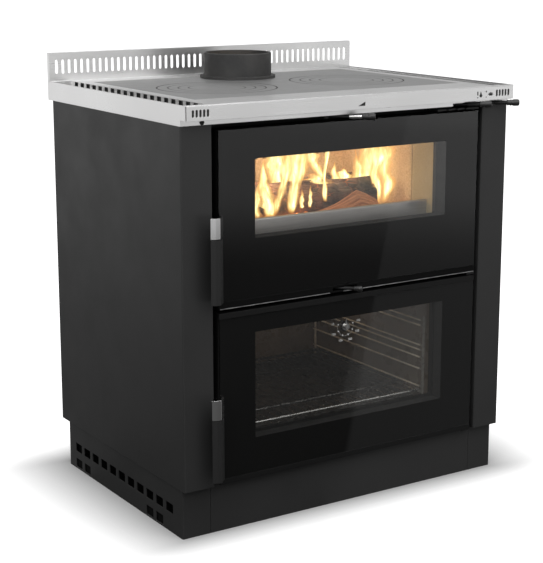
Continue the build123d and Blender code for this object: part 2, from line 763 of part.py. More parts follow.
# ---- Hob plate, nested rings and centre discs ----
ring_mid_z = work_height - hob_thick / 2
ring_half_gap = ring_gap / 2
with BuildPart() as hob_plate:
    block(both(hob_half_w), (hob_front, hob_back), (hob_seat, work_height))
    for zone_x in (-zone_offset_x, zone_offset_x):
        with Locations((zone_x, zone_y, work_height)):
            Cylinder(ring_boundaries[0] + ring_half_gap, hob_thick, mode=Mode.SUBTRACT)
        with Locations((zone_x, zone_y, hob_seat)):
            Cylinder(ring_boundaries[0] - ring_ledge + ring_half_gap, hob_thick + 2 * cut_over,
                     mode=Mode.SUBTRACT)
    with Locations((0, flue_y, hob_seat)):
        Cylinder(flue_hole_radius, 3 * hob_thick, mode=Mode.SUBTRACT)


def hob_ring(zone_x, outer, inner):
    """A ring that rests on the ledge outside it and carries the next one inside it."""
    with BuildSketch(Plane.XZ) as section:
        with BuildLine():
            Polyline(
                (inner - ring_ledge + ring_half_gap, hob_seat),
                (outer - ring_ledge - ring_half_gap, hob_seat),
                (outer - ring_ledge - ring_half_gap, ring_mid_z),
                (outer - ring_half_gap, ring_mid_z),
                (outer - ring_half_gap, work_height - ring_edge),
                (outer - ring_half_gap - ring_edge, work_height),
                (inner + ring_half_gap + ring_edge, work_height),
                (inner + ring_half_gap, work_height - ring_edge),
                (inner + ring_half_gap, ring_mid_z),
                (inner - ring_ledge + ring_half_gap, ring_mid_z),
                close=True,
            )
        make_face()
    ring = revolve(section.sketch, axis=Axis.Z, mode=Mode.PRIVATE)
    add(Pos(zone_x, zone_y, 0) * ring)


def hob_disc(zone_x):
    """The centre disc, with a blind slot for the lifting tool."""
    outer = ring_boundaries[-1]
    with Locations((zone_x, zone_y, ring_mid_z + hob_thick / 4)):
        Cylinder(outer - ring_half_gap, hob_thick / 2)
    chamfer(edges().group_by(Axis.Z)[-1], ring_edge)
    with Locations((zone_x, zone_y, hob_seat + hob_thick / 4)):
        Cylinder(outer - ring_ledge - ring_half_gap, hob_thick / 2)
    with BuildSketch(Plane.XY.offset(work_height)) as outline:
        with Locations((zone_x, zone_y)):
            SlotOverall(lifting_slot_length, lifting_slot_width)
    extrude(outline.sketch, amount=-lifting_slot_depth, mode=Mode.SUBTRACT)


hob_pieces = {}
for zone_name, zone_x in (("left", -zone_offset_x), ("right", zone_offset_x)):
    for ring_name, outer, inner in zip(("outer", "middle", "inner"), ring_boundaries, ring_boundaries[1:]):
        with BuildPart() as hob_pieces[f"{zone_name}_{ring_name}_ring"]:
            hob_ring(zone_x, outer, inner)
    with BuildPart() as hob_pieces[f"{zone_name}_disc"]:
        hob_disc(zone_x)

with BuildPart() as flue_collar:
    with Locations((0, flue_y, work_height + collar_height / 2)):
        Cylinder(collar_radius, collar_height)
    fillet(edges().group_by(Axis.Z)[-1], collar_lip_round)
    with Locations((0, flue_y, work_height + collar_flange_thick / 2)):
        Cylinder(collar_flange_radius, collar_flange_thick)
    with Locations((0, flue_y, work_height + collar_height / 2)):
        Cylinder(collar_bore_radius, collar_height + 2 * cut_over, mode=Mode.SUBTRACT)

# ---- Doors ----


def door_frame(door_z, window_z, pane_lip):
    """A folded steel tray with a window, a reveal round it and an inner sheet behind."""
    block(both(door_half_w), (glass_back, door_back), door_z)
    block(both(door_half_w - door_sheet), (glass_back + door_sheet, door_back - door_sheet),
          (door_z[0] + door_sheet, door_z[1] - door_sheet), Mode.SUBTRACT)
    block(both(window_half_w + door_sheet), (glass_back, door_back),
          (window_z[0] - door_sheet, window_z[1] + door_sheet))
    block(both(window_half_w), (glass_back - cut_over, door_back - door_sheet), window_z, Mode.SUBTRACT)
    block(both(window_half_w - pane_lip), (glass_back, door_back + cut_over),
          (window_z[0] + pane_lip, window_z[1] - pane_lip), Mode.SUBTRACT)
    for boss_z in ((door_z[0], door_z[0] + hinge_boss_height), (door_z[1] - hinge_boss_height, door_z[1])):
        block((door_half_w - hinge_boss, door_half_w), (glass_back, hinge_y + hinge_boss / 2), boss_z)
    with Locations((hinge_x, hinge_y, door_z[0]), (hinge_x, hinge_y, door_z[1])):
        Cylinder(hinge_pin_radius + hinge_running_gap, 2 * hinge_bore_depth, mode=Mode.SUBTRACT)


def band(z):
    """A steel band across the door, flush with the glass."""
    block(both(door_half_w), (glass_face, glass_back), z)


primary_x, primary_y = primary_lever_pivot
with BuildPart() as fire_door_frame:
    door_frame((fire_door_bottom, fire_door_top), fire_window_z, 0)
    band((fire_door_bottom, fire_door_bottom + fire_band_low))
    slot_start = primary_x - primary_slot_lead
    block((slot_start, slot_start + primary_slot_width),
          (glass_face - cut_over, glass_back + door_sheet + fit_gap),
          (primary_lever_z - primary_slot_height / 2, primary_lever_z + primary_slot_height / 2),
          Mode.SUBTRACT)
    bar((primary_x, primary_y, fire_door_bottom + door_sheet / 2),
        (primary_x, primary_y, primary_lever_z + lever_eye_thick / 2 + primary_pin_stand),
        primary_pin_radius)

with BuildPart() as oven_door_frame:
    door_frame((oven_door_bottom, oven_door_top), oven_window_z, oven_pane_lip)
    band((oven_door_bottom, oven_door_bottom + oven_band))
    band((oven_door_top - oven_band, oven_door_top))

with BuildPart() as fire_door_glass:
    block(both(door_half_w - glass_edge_gap), (glass_face, glass_back),
          (fire_door_bottom + fire_band_low, fire_door_top - glass_edge_gap))

with BuildPart() as oven_door_glass:
    block(both(door_half_w - glass_edge_gap), (glass_face, glass_back),
          (oven_door_bottom + oven_band, oven_door_top - oven_band))

pane_back = door_back - door_sheet
pane_front = pane_back - glass_thick
with BuildPart() as oven_door_inner_glass:
    block(both(window_half_w - fit_gap), (pane_front, pane_back),
          (oven_window_z[0] + fit_gap, oven_window_z[1] - fit_gap))
    bar((0, pane_front - cut_over, thermometer_z), (0, pane_back + cut_over, thermometer_z),
        thermometer_neck_radius + thermometer_neck_gap, Mode.SUBTRACT)


def rope_gasket(half_width, z):
    """A flat rope seal that frames an opening, on the back of its door."""
    seal_y = (door_back, frame_face - gasket_gap)
    block(both(half_width + gasket_width), seal_y, (z[0] - gasket_width, z[1] + gasket_width))
    block(both(half_width), seal_y, z, Mode.SUBTRACT)


with BuildPart() as fire_door_gasket:
    rope_gasket(mouth_half_w + fire_gasket_side,
                (fire_door_bottom + fire_gasket_low, mouth_z[1] + fire_gasket_high))

with BuildPart() as oven_door_gasket:
    rope_gasket(oven_half_width + oven_gasket_margin,
                (oven_floor - oven_gasket_margin, oven_top + oven_gasket_margin))

# ---- Pull profiles on the doors' free edge ----
pull_x = -door_half_w
pull_tip_y = glass_face - pull_reach
pull_line = [
    (pull_x, glass_face - pull_web_front),
    (pull_x - pull_nose_in, pull_tip_y),
    (pull_x - pull_nose_in - pull_flat, pull_tip_y),
    (pull_x - pull_nose_in - pull_flat - pull_tip_out, pull_tip_y + pull_tip_back),
]
pull_wall_y = pull_tip_y + pull_sheet
latch_web_back = glass_face - latch_web_gap
latch_pin_y = pull_wall_y + latch_pin_setback
ear_mid_x = pull_x - pull_nose_in - pull_flat / 2
ear_half = latch_ear_thick / 2
ear_pitch = latch_ear_thick + latch_ear_gap


def grip(door_bottom):
    """The fixed black part of the pull, screwed to the door's side, with the ear for the latch."""
    top = door_bottom + handle_raise + grip_height
    pin_z = top + latch_gap + latch_pin_rise
    ear_x = (ear_mid_x - ear_half, ear_mid_x + ear_half)
    ear_back = latch_pin_y + latch_ear_rim
    folded([(pull_x, glass_back + pull_flange_depth)] + pull_line, pull_sheet,
           (door_bottom + handle_raise, top))
    block(ear_x, (pull_wall_y - fit_gap, ear_back), (top - latch_ear_root, top))
    block(ear_x, (pull_wall_y + latch_swing_gap, ear_back), (top, pin_z + latch_ear_rim - fit_gap))
    bar((ear_x[0] - cut_over, latch_pin_y, pin_z), (ear_x[1] + cut_over, latch_pin_y, pin_z),
        latch_pin_radius + hinge_running_gap, Mode.SUBTRACT)


def latch_foot(door_bottom):
    """The height where the chrome piece starts, just above the grip."""
    return door_bottom + handle_raise + grip_height + latch_gap


def latch(door_bottom):
    """The chrome part of the pull: it tilts on a cross pin and lifts its tongue."""
    low = latch_foot(door_bottom)
    pin_z = low + latch_pin_rise
    folded([(pull_x, latch_web_back)] + pull_line, pull_sheet, (low, low + latch_height))
    for ear_x in (ear_mid_x - ear_pitch, ear_mid_x + ear_pitch):
        block((ear_x - ear_half, ear_x + ear_half),
              (pull_wall_y - fit_gap, latch_pin_y + latch_ear_rim), (low, pin_z + latch_ear_rim))
    bar((ear_mid_x - ear_pitch, latch_pin_y, pin_z), (ear_mid_x + ear_pitch, latch_pin_y, pin_z),
        latch_pin_radius)
    tongue_x = (pull_x - pull_sheet - tongue_thick, pull_x - pull_sheet)
    tongue_z = (low + tongue_rise, low + tongue_rise + tongue_height)
    tongue_back = frame_face - tongue_end_gap
    block(tongue_x, (latch_web_back - tongue_root, tongue_back), tongue_z)
    block(tongue_x, (tongue_back - tongue_nose_depth, tongue_back),
          (tongue_z[0] - tongue_nose_drop, tongue_z[1]))


with BuildPart() as fire_door_grip:
    grip(fire_door_bottom)

with BuildPart() as oven_door_grip:
    grip(oven_door_bottom)

with BuildPart() as fire_door_latch:
    latch(fire_door_bottom)

with BuildPart() as oven_door_latch:
    latch(oven_door_bottom)

with BuildPart() as latch_keepers:
    for door_bottom in (fire_door_bottom, oven_door_bottom):
        keeper_top = latch_foot(door_bottom) + tongue_rise - tongue_nose_drop - keeper_gap
        block((keeper_side_gap - stile_x, -door_half_w - keeper_side_gap),
              (frame_face - keeper_depth, frame_face), (keeper_top - keeper_height, keeper_top))

# ---- Hinges: plates on the front frame and the base plate, with round pins into the doors ----
plate_x = (hinge_x - hinge_plate_overlap, hinge_x + hinge_plate_overlap)
plate_y = (hinge_y - hinge_plate_margin, frame_face)
top_plate_start = plate_x[1] - top_hinge_plate_length
top_plate_z = (fire_door_top + hinge_plate_gap, fire_door_top + hinge_plate_gap + hinge_plate_thick)
mid_plate_z = (oven_door_top + fire_door_bottom) / 2
slot_row_x = (top_plate_start + plate_x[0]) / 2
with BuildPart() as hinge_brackets:
    block((top_plate_start, plate_x[1]), plate_y, top_plate_z)
    with BuildSketch(Plane.XY.offset(top_plate_z[0])):
        with Locations((slot_row_x, plate_y[0])):
            with GridLocations(top_hinge_slot_pitch, 1, top_hinge_slot_count, 1):
                Rectangle(top_hinge_slot_width, 2 * top_hinge_slot_depth)
    extrude(amount=hinge_plate_thick, mode=Mode.SUBTRACT)
    block(plate_x, plate_y, (mid_plate_z - hinge_plate_thick / 2, mid_plate_z + hinge_plate_thick / 2))
    block(plate_x, (plate_y[0], plinth_front), (plinth_top, body_bottom))
    bar((hinge_x, hinge_y, 0), (hinge_x, hinge_y, work_height), hinge_pin_radius, Mode.SUBTRACT)

hinge_pin_spans = (
    (plinth_top, oven_door_bottom + hinge_pin_reach),
    (oven_door_top - hinge_pin_reach, fire_door_bottom + hinge_pin_reach),
    (fire_door_top - hinge_pin_reach, top_plate_z[1]),
)
with BuildPart() as hinge_pins:
    for low, high in hinge_pin_spans:
        bar((hinge_x, hinge_y, low), (hinge_x, hinge_y, high), hinge_pin_radius)

# ---- Thermometer on the oven door's inner pane ----
bezel_front = pane_front - thermometer_bezel_thick
pointer_back = bezel_front - pointer_clearance
pointer_front = pointer_back - pointer_hub_depth
shaft_front = pointer_back - pointer_hub_depth / 2


def axle(front, back, radius, mode=Mode.ADD):
    """A round piece on the thermometer's axis."""
    bar((0, front, thermometer_z), (0, back, thermometer_z), radius, mode)


with BuildPart() as thermometer_body:
    axle(bezel_front, pane_front, thermometer_bezel_radius)
    axle(pane_front, pane_back, thermometer_neck_radius)
    axle(pane_back, pane_back + thermometer_coil_depth, thermometer_coil_radius)
    axle(shaft_front, bezel_front, pointer_shaft_radius)

with BuildPart() as thermometer_pointer:
    axle(pointer_front, pointer_back, pointer_hub_radius)
    block(both(pointer_width / 2), (pointer_back - pointer_thick, pointer_back),
          (thermometer_z - pointer_tail, thermometer_z + pointer_length))
    axle(shaft_front - pointer_clearance, pointer_back, pointer_shaft_radius + pointer_shaft_gap,
         Mode.SUBTRACT)

# ---- Names and files ----
pieces = {
    "floor_frame": floor_frame,
    "plinth_left": plinth_left,
    "plinth_right": plinth_right,
    "plinth_kick_panel": plinth_kick_panel,
    "plinth_back": plinth_back_sheet,
    "base_plate": base_plate,
    "side_panel_left": side_panel_left,
    "side_panel_right": side_panel_right,
    "back_panel": back_panel,
    "front_frame": front_frame,
    "firebox_shell": firebox_shell,
    "hearth_plate": hearth_plate,
    "fire_grate": fire_grate,
    "side_firebricks": side_firebricks,
    "back_firebricks": back_firebricks,
    "log_guard": log_guard,
    "ash_drawer": ash_drawer,
    "oven_liner": oven_liner,
    "oven_racks": oven_racks,
    "wire_shelf": wire_shelf,
    "baking_tray": baking_tray,
    "top_frame": top_frame,
    "fascia_bar": fascia_bar,
    "casing_screws": casing_screws,
    "splashback": splashback,
    "hob_plate": hob_plate,
    "flue_collar": flue_collar,
    "fire_door_frame": fire_door_frame,
    "fire_door_glass": fire_door_glass,
    "fire_door_gasket": fire_door_gasket,
    "fire_door_grip": fire_door_grip,
    "fire_door_latch": fire_door_latch,
    "primary_air_lever": primary_air_lever,
    "primary_air_knob": primary_air_knob,
    "oven_door_frame": oven_door_frame,
    "oven_door_glass": oven_door_glass,
    "oven_door_inner_glass": oven_door_inner_glass,
    "oven_door_gasket": oven_door_gasket,
    "oven_door_grip": oven_door_grip,
    "oven_door_latch": oven_door_latch,
    "thermometer_body": thermometer_body,
    "thermometer_pointer": thermometer_pointer,
    "hinge_brackets": hinge_brackets,
    "hinge_pins": hinge_pins,
    "latch_keepers": latch_keepers,
    "lever_brackets": lever_brackets,
    "secondary_air_lever": secondary_air_lever,
    "secondary_air_knob": secondary_air_knob,
    "flue_damper_lever": flue_damper_lever,
    "flue_damper_knob": flue_damper_knob,
    "oven_damper_lever": oven_damper_lever,
    "oven_damper_knob": oven_damper_knob,
    **hob_pieces,
}
os.makedirs("parts", exist_ok=True)
for name, piece in pieces.items():
    piece.part.label = name
    export_step(piece.part, f"parts/{name}.step")
print(len(pieces), "pieces written")
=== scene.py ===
# %% [markdown]
# # A wood cookstove with an oven, dressed for its picture
# The solids of this cooker already exist: casing, doors, hob, fire box and oven come in as a
# fixed frame, in metres, with the front at -Y and up at +Z. This script never moves them. It
# gives every one of them a finish, and adds what the solids leave out: screws, turned knobs,
# printed marks, the oven dial, the gutters along the worktop, and the fire itself.

# %% Load the frame
import bmesh
import bpy
import json
import math
import random
from mathutils import Matrix, Vector, noise


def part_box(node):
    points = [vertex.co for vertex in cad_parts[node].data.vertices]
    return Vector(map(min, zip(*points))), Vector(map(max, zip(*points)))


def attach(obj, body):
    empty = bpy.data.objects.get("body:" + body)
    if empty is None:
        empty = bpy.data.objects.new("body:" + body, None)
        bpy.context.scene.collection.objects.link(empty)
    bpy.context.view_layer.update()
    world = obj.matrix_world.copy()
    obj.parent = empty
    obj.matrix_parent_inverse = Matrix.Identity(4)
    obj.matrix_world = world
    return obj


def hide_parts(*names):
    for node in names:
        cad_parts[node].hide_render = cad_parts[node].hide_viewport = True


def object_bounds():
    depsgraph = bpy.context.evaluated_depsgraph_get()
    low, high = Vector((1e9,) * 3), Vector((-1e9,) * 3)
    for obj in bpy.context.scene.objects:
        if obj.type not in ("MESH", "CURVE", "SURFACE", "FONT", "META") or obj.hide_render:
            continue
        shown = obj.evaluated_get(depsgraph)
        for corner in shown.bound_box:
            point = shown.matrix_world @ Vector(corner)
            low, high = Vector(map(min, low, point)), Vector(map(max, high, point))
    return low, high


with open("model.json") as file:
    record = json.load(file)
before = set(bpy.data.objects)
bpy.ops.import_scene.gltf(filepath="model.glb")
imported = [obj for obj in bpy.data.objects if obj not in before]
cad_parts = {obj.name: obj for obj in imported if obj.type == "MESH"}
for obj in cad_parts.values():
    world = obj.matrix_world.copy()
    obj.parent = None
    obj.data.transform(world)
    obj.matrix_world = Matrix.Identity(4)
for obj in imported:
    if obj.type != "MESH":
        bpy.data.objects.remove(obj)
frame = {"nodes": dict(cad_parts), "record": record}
cad_low, cad_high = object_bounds()
scene = bpy.context.scene
nodes = frame["nodes"]

# %% [markdown]
# ## A small workbench for shader nodes
# A real finish is never one flat colour: paint clouds a little, steel carries brush lines, iron
# is pitted, and edges rub bright. Each of these is a few shader nodes, so a helper class that
# adds a node and plugs it in keeps every recipe short. It works on any shader tree, the world's
# as well.

# %% Nodes by the handful
class Recipe:
    """Adds nodes to a shader tree and plugs them together."""

    def __init__(self, tree):
        self.tree = tree

    def add(self, kind, inputs=None, **settings):
        """A new node; inputs are numbers, colours or other nodes' sockets."""
        node = self.tree.nodes.new("ShaderNode" + kind)
        for name, value in settings.items():
            setattr(node, name, value)
        for name, value in (inputs or {}).items():
            self.feed(node.inputs[name], value)
        return node

    def feed(self, socket, value):
        """Plugs in a socket, or sets a plain value."""
        if isinstance(value, bpy.types.NodeSocket):
            self.tree.links.new(value, socket)
        else:
            socket.default_value = value

    def math(self, operation, first, second=0.0):
        return self.add("Math", {0: first, 1: second}, operation=operation).outputs[0]

    def span(self, value, start, end, low, high):
        """Maps start..end to low..high, and holds the value outside."""
        return self.add("MapRange", {"Value": value, "From Min": start, "From Max": end,
                                     "To Min": low, "To Max": high}).outputs[0]

    def vector(self, operation, *inputs, output=0):
        """A step of vector arithmetic on one or two inputs."""
        return self.add("VectorMath", dict(enumerate(inputs)), operation=operation).outputs[output]


print("a recipe can", [name for name in vars(Recipe) if not name.startswith("_")])

# %% [markdown]
# ## Patterns in the cooker's own metres
# Paint grain, brush lines, pits and flakes are noises or cells. All of them read Object
# coordinates: the objects sit at the origin, so these are the cooker's own metres, and a grain
# keeps its size on every piece.

# %% Grain, cells and flakes
class Patterns(Recipe):
    """A recipe whose patterns lie on Object coordinates."""

    def __init__(self, tree):
        super().__init__(tree)
        self.place = self.add("TexCoord").outputs["Object"]

    def axis(self, index):
        """How far along X (0), Y (1) or Z (2) a point lies."""
        return self.add("SeparateXYZ", {"Vector": self.place}).outputs[index]

    def stretched(self, stretch):
        """Object coordinates scaled by axis, which draws a pattern out along the small ones."""
        return self.add("Mapping", {"Vector": self.place, "Scale": stretch}).outputs[0]

    def noise(self, scale, detail=3.0, stretch=None, rough=0.55):
        where = self.stretched(stretch) if stretch else self.place
        return self.add("TexNoise", {"Vector": where, "Scale": scale, "Detail": detail,
                                     "Roughness": rough}).outputs[0]

    def cells(self, scale, feature="F1", output="Distance", stretch=None):
        where = self.stretched(stretch) if stretch else self.place
        pattern = self.add("TexVoronoi", {"Vector": where, "Scale": scale}, feature=feature)
        return pattern.outputs[output]

    def flakes(self, scale):
        """A random tone for each cell of a pattern."""
        colour = self.cells(scale, output="Color")
        return self.add("SeparateColor", {"Color": colour}).outputs[0]


print("patterns:", [name for name in vars(Patterns) if not name.startswith("_")])

# %% [markdown]
# ## What a finish is made of
# A finish starts as Blender's Principled shader. The patterns blend its colours, let its roughness
# wander and tilt its normals. Wear comes from the Bevel node, which knows where a surface turns a
# corner.

# %% A finish in the making
class Finish(Patterns):
    """A Principled material that grows its own nodes."""

    def __init__(self, name, rough, metal=0.0, gloss=0.5):
        self.material = bpy.data.materials.new(name)
        self.material.use_nodes = True
        super().__init__(self.material.node_tree)
        self.shader = self.tree.nodes["Principled BSDF"]
        self.shader.inputs["Metallic"].default_value = metal
        self.shader.inputs["Specular IOR Level"].default_value = gloss
        self.shader.inputs["Roughness"].default_value = rough

    def mix(self, share, first, second):
        """Blends two colours."""
        node = self.add("Mix", data_type="RGBA")
        for index, value in ((0, share), (6, first), (7, second)):
            self.feed(node.inputs[index], value)
        return node.outputs[2]

    def blend(self, pattern, start, end, first, second, most=1.0):
        """Goes from one colour towards another while a pattern goes from start to end."""
        return self.mix(self.span(pattern, start, end, 0.0, most), first, second)

    def wear(self, radius, scale):
        """One along the piece's edges and nought on its flats, broken up by noise."""
        bevel = self.add("Bevel", {"Radius": radius}, samples=4).outputs[0]
        flat = self.add("NewGeometry").outputs["Normal"]
        alike = self.vector("DOT_PRODUCT", bevel, flat, output="Value")
        edge = self.span(alike, 0.75, 0.995, 1.0, 0.0)
        return self.math("MULTIPLY", edge, self.span(self.noise(scale), 0.42, 0.62, 0.0, 1.0))

    def bump(self, height, strength, distance, edge_radius=None):
        """Tilts the normals by a height in metres; a radius rounds the edges softly too."""
        inputs = {"Height": height, "Strength": strength, "Distance": distance}
        if edge_radius:
            inputs["Normal"] = self.add("Bevel", {"Radius": edge_radius}, samples=4).outputs[0]
        self.feed(self.shader.inputs["Normal"], self.add("Bump", inputs).outputs[0])

    def colour(self, value):
        self.feed(self.shader.inputs["Base Color"], value)

    def roughness(self, value):
        self.feed(self.shader.inputs["Roughness"], value)

    def polish(self, pattern, low, high, start=0.3, end=0.7):
        """Lets the roughness wander from low to high while a pattern goes from start to end."""
        self.roughness(self.span(pattern, start, end, low, high))

    def glow(self, colour, strength):
        """Makes the surface give light of its own."""
        self.shader.inputs["Emission Color"].default_value = colour
        self.feed(self.shader.inputs["Emission Strength"], strength)

    def show(self, surface):
        """Puts another shader in the place of the plain one."""
        self.feed(self.tree.nodes["Material Output"].inputs["Surface"], surface)


def grey(level, warmth=0.0):
    """A near-neutral colour, with a little red in and blue out for warmth."""
    return (level * (1 + warmth), level, level * (1 - warmth), 1.0)


finishes = {}
print("a warm grey of a half:", grey(0.5, 0.1))

# %% [markdown]
# ## Painted steel
# The casing is folded sheet with a fine matt stove paint. Up close such paint is a dense, even
# grain; from across a room only its broad soft sheen and the slightly bare fold lines show. So
# the colour clouds by a few percent, the roughness follows a second cloud, and a fine noise makes
# the grain.

# %% Casing paint and door paint
def stove_paint(name, level, rough, gloss, grain):
    """Matt heat-proof paint over folded steel."""
    paint = Finish(name, rough, gloss=gloss)
    cloud = paint.blend(paint.noise(5.0), 0.3, 0.7, grey(level * 0.93), grey(level * 1.07))
    speck = paint.blend(paint.noise(850.0, 2.0), 0.55, 0.75, cloud, grey(level * 1.5), most=0.35)
    paint.colour(paint.mix(paint.wear(0.0016, 90.0), speck, grey(level * 1.9, 0.02)))
    paint.polish(paint.noise(11.0, 4.0), rough - 0.05, rough + 0.05)
    paint.bump(paint.noise(700.0, 2.0), grain, 0.0001, 0.0012)
    return paint.material


finishes["body_paint"] = stove_paint("matt_casing_paint", 0.026, 0.46, 0.42, 0.10)
finishes["stove_paint"] = stove_paint("black_door_paint", 0.006, 0.5, 0.22, 0.04)
print("paints:", *finishes)

# %% [markdown]
# ## Brushed stainless steel
# The top frame, the fascia and the splashback are brushed along their length. Brushing is
# thousands of hair-thin scratches, so a noise squeezed hard across X draws them, and it drives
# both the roughness and a shallow bump. A wide soft stain stops it looking new-made.

# %% Stainless
def brushed(name, level, rough, scratch, stretch=(6.0, 900.0, 900.0)):
    """Steel with brush lines along the axis that the stretch leaves long."""
    steel = Finish(name, rough, metal=1.0)
    lines = steel.noise(1.0, 4.0, stretch)
    broad = steel.noise(3.5, 3.0)
    tone = steel.blend(broad, 0.3, 0.7, grey(level * 0.96, 0.004), grey(level, 0.008))
    hair = steel.blend(lines, 0.3, 0.7, grey(level * 0.95), tone)
    steel.colour(steel.mix(steel.wear(0.0012, 140.0), hair, grey(min(1.0, level * 1.15))))
    rubbed = steel.math("ADD", steel.span(lines, 0.25, 0.75, rough - 0.05, rough + 0.06),
                        steel.span(broad, 0.35, 0.65, -0.02, 0.03))
    steel.roughness(rubbed)
    steel.bump(lines, scratch, 0.0001, 0.0010)
    return steel.material


finishes["stainless"] = brushed("brushed_stainless", 0.86, 0.30, 0.05)
print("brushed:", finishes["stainless"].name)

# %% [markdown]
# ## Plated parts
# The latches are chromed. Chrome is a thin even mirror that dulls where fingers and cloths rub
# it, so only its tone and roughness vary, with faint wiping marks. The zinc on the frame and the
# rear panel crystallises into spangles, which a cell pattern gives.

# %% Chrome and zinc
chrome = Finish("polished_chrome", 0.12, metal=1.0)
wiped = chrome.noise(60.0, 4.0, (1.0, 1.0, 0.25))
chrome.colour(chrome.blend(wiped, 0.35, 0.7, grey(0.78), grey(0.66, 0.02)))
chrome.polish(wiped, 0.07, 0.24, 0.3, 0.75)
chrome.bump(chrome.noise(700.0), 0.04, 0.0001, 0.0008)
finishes["chrome"] = chrome.material

zinc = Finish("spangled_zinc", 0.42, metal=1.0)
spangle = zinc.flakes(70.0)
dull = zinc.blend(zinc.noise(9.0, 4.0), 0.4, 0.75, grey(0.52), grey(0.36, 0.02), most=0.6)
zinc.colour(zinc.blend(spangle, 0.0, 1.0, dull, grey(0.66), most=0.45))
zinc.polish(spangle, 0.32, 0.55, 0.0, 1.0)
zinc.bump(spangle, 0.08, 0.0002, 0.0010)
finishes["zinc_sheet"] = zinc.material
print("plated:", chrome.material.name, zinc.material.name)

# %% [markdown]
# ## The hob
# The hob is ground cast plate, mid grey and lightly oiled, with fine grinding lines and a few
# darker stains. The narrow gaps between the cooking rings fall into shade, and a dark line painted
# along each joint gives that painted shade. The rings are round, so the line follows from the
# distance to the zone's middle, at each ring's own radius; the absolute value of X gives both zones
# at once.

# %% Hob plate
hob = Finish("ground_hob_plate", 0.45, metal=0.7)
ground = hob.noise(1.0, 5.0, (14.0, 300.0, 300.0))
plain = hob.blend(ground, 0.3, 0.7, grey(0.295), grey(0.33))
oiled = hob.blend(hob.noise(7.0, 5.0), 0.5, 0.75, plain, grey(0.265, 0.02), most=0.4)

zone_low, zone_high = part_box("right_outer_ring")
zone_x, zone_y = (zone_low.x + zone_high.x) / 2, (zone_low.y + zone_high.y) / 2
off_x = hob.math("SUBTRACT", hob.math("ABSOLUTE", hob.axis(0)), zone_x)
off_y = hob.math("SUBTRACT", hob.axis(1), zone_y)
from_zone = hob.math("SQRT", hob.math("ADD", hob.math("MULTIPLY", off_x, off_x),
                                      hob.math("MULTIPLY", off_y, off_y)))
joint_gap, line_core, line_rim = 0.0004, 0.0010, 0.0024
gap_shade_darkness = {"right_outer_ring": 0.95, "right_middle_ring": 0.55, "right_inner_ring": 0.5,
                  "right_disc": 0.45}
darkening = 0.0
for ring_node, darkness in gap_shade_darkness.items():
    ring_low, ring_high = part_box(ring_node)
    off_joint = hob.math("SUBTRACT", from_zone, (ring_high.x - ring_low.x) / 2 + joint_gap)
    line = hob.span(hob.math("ABSOLUTE", off_joint), line_core, line_rim, darkness, 0.0)
    darkening = hob.math("MAXIMUM", line, darkening)
# painted shade: a near-black line along each ring gap, darkest round the outer ring
hob.colour(hob.mix(darkening, oiled, grey(0.035, 0.03)))
hob.polish(hob.noise(38.0, 5.0), 0.42, 0.5)
hob.bump(hob.noise(420.0, 4.0), 0.06, 0.0002, 0.0010)
finishes["hob_iron"] = hob.material
print("hob: zones", round(zone_x, 3), "m off the middle, with", len(gap_shade_darkness), "joints each")

# %% [markdown]
# ## Rough castings
# The collar and the castings round the fire are left as they come from the sand: coarse pits,
# dark grey with a brown cast where it's dry, and a little brighter where edges are knocked.

# %% Dark castings
casting = Finish("rough_dark_casting", 0.62, metal=0.35, gloss=0.4)
pits = casting.cells(420.0)
sand = casting.blend(casting.noise(14.0, 5.0), 0.35, 0.7, grey(0.042), grey(0.062, 0.03))
casting.colour(casting.mix(casting.wear(0.0016, 70.0), sand, grey(0.12, 0.02)))
casting.polish(casting.noise(45.0, 4.0), 0.5, 0.72)
casting.bump(casting.math("ADD", pits, casting.noise(160.0, 5.0)), 0.3, 0.0006, 0.0014)
finishes["dark_iron"] = casting.material
print("cast:", casting.material.name)

# %% [markdown]
# ## Fire bricks
# The tiles round the fire are light vermiculite: a soft tan board full of small flakes, smoked
# brown in clouds. Towards the fire door's glass their colour turns olive.

# %% Brick
brick = Finish("vermiculite_brick", 0.9, gloss=0.2)
flake_tone = brick.flakes(330.0)
board = brick.blend(flake_tone, 0.0, 1.0, (0.50, 0.35, 0.21, 1), (0.68, 0.51, 0.33, 1))
smoked = brick.blend(brick.noise(9.0, 5.0), 0.45, 0.8, board, (0.30, 0.20, 0.12, 1), most=0.5)
olive_from, olive_to = -0.150, -0.172
brick.colour(brick.blend(brick.axis(1), olive_from, olive_to, smoked, (0.30, 0.26, 0.15, 1),
                         most=0.8))
brick.bump(brick.math("ADD", flake_tone, brick.noise(240.0, 4.0)), 0.35, 0.0008, 0.0020)
finishes["firebrick"] = brick.material
print("bricks turn olive from y =", olive_from, "to", olive_to)

# %% [markdown]
# ## Enamel in the oven
# The oven is lined with speckled enamel, which reads as a warm brown-grey shine behind two panes
# of glass. The tray wears a blacker enamel with the same kind of fleck. A fine noise cut off
# sharply gives the flecks.

# %% Lining and tray
lining = Finish("speckled_oven_enamel", 0.28, gloss=0.5)
glaze = lining.blend(lining.noise(6.0, 3.0), 0.3, 0.7, (0.080, 0.060, 0.040, 1),
                     (0.110, 0.084, 0.057, 1))
lining.colour(lining.blend(lining.noise(900.0, 1.0), 0.62, 0.66, glaze, (0.26, 0.22, 0.17, 1),
                           most=0.8))
lining.polish(lining.noise(25.0, 4.0), 0.2, 0.4)
lining.bump(lining.noise(150.0, 3.0), 0.12, 0.0003, 0.0015)
finishes["oven_lining"] = lining.material

tray = Finish("tray_enamel", 0.24, gloss=0.5)
tray.colour(tray.blend(tray.noise(800.0, 1.0), 0.63, 0.66, grey(0.022, 0.03), grey(0.2), most=0.6))
tray.polish(tray.noise(30.0, 4.0), 0.18, 0.36)
tray.bump(tray.noise(120.0, 3.0), 0.1, 0.0003, 0.0015)
finishes["tray_enamel"] = tray.material
print("enamels:", lining.material.name, tray.material.name)

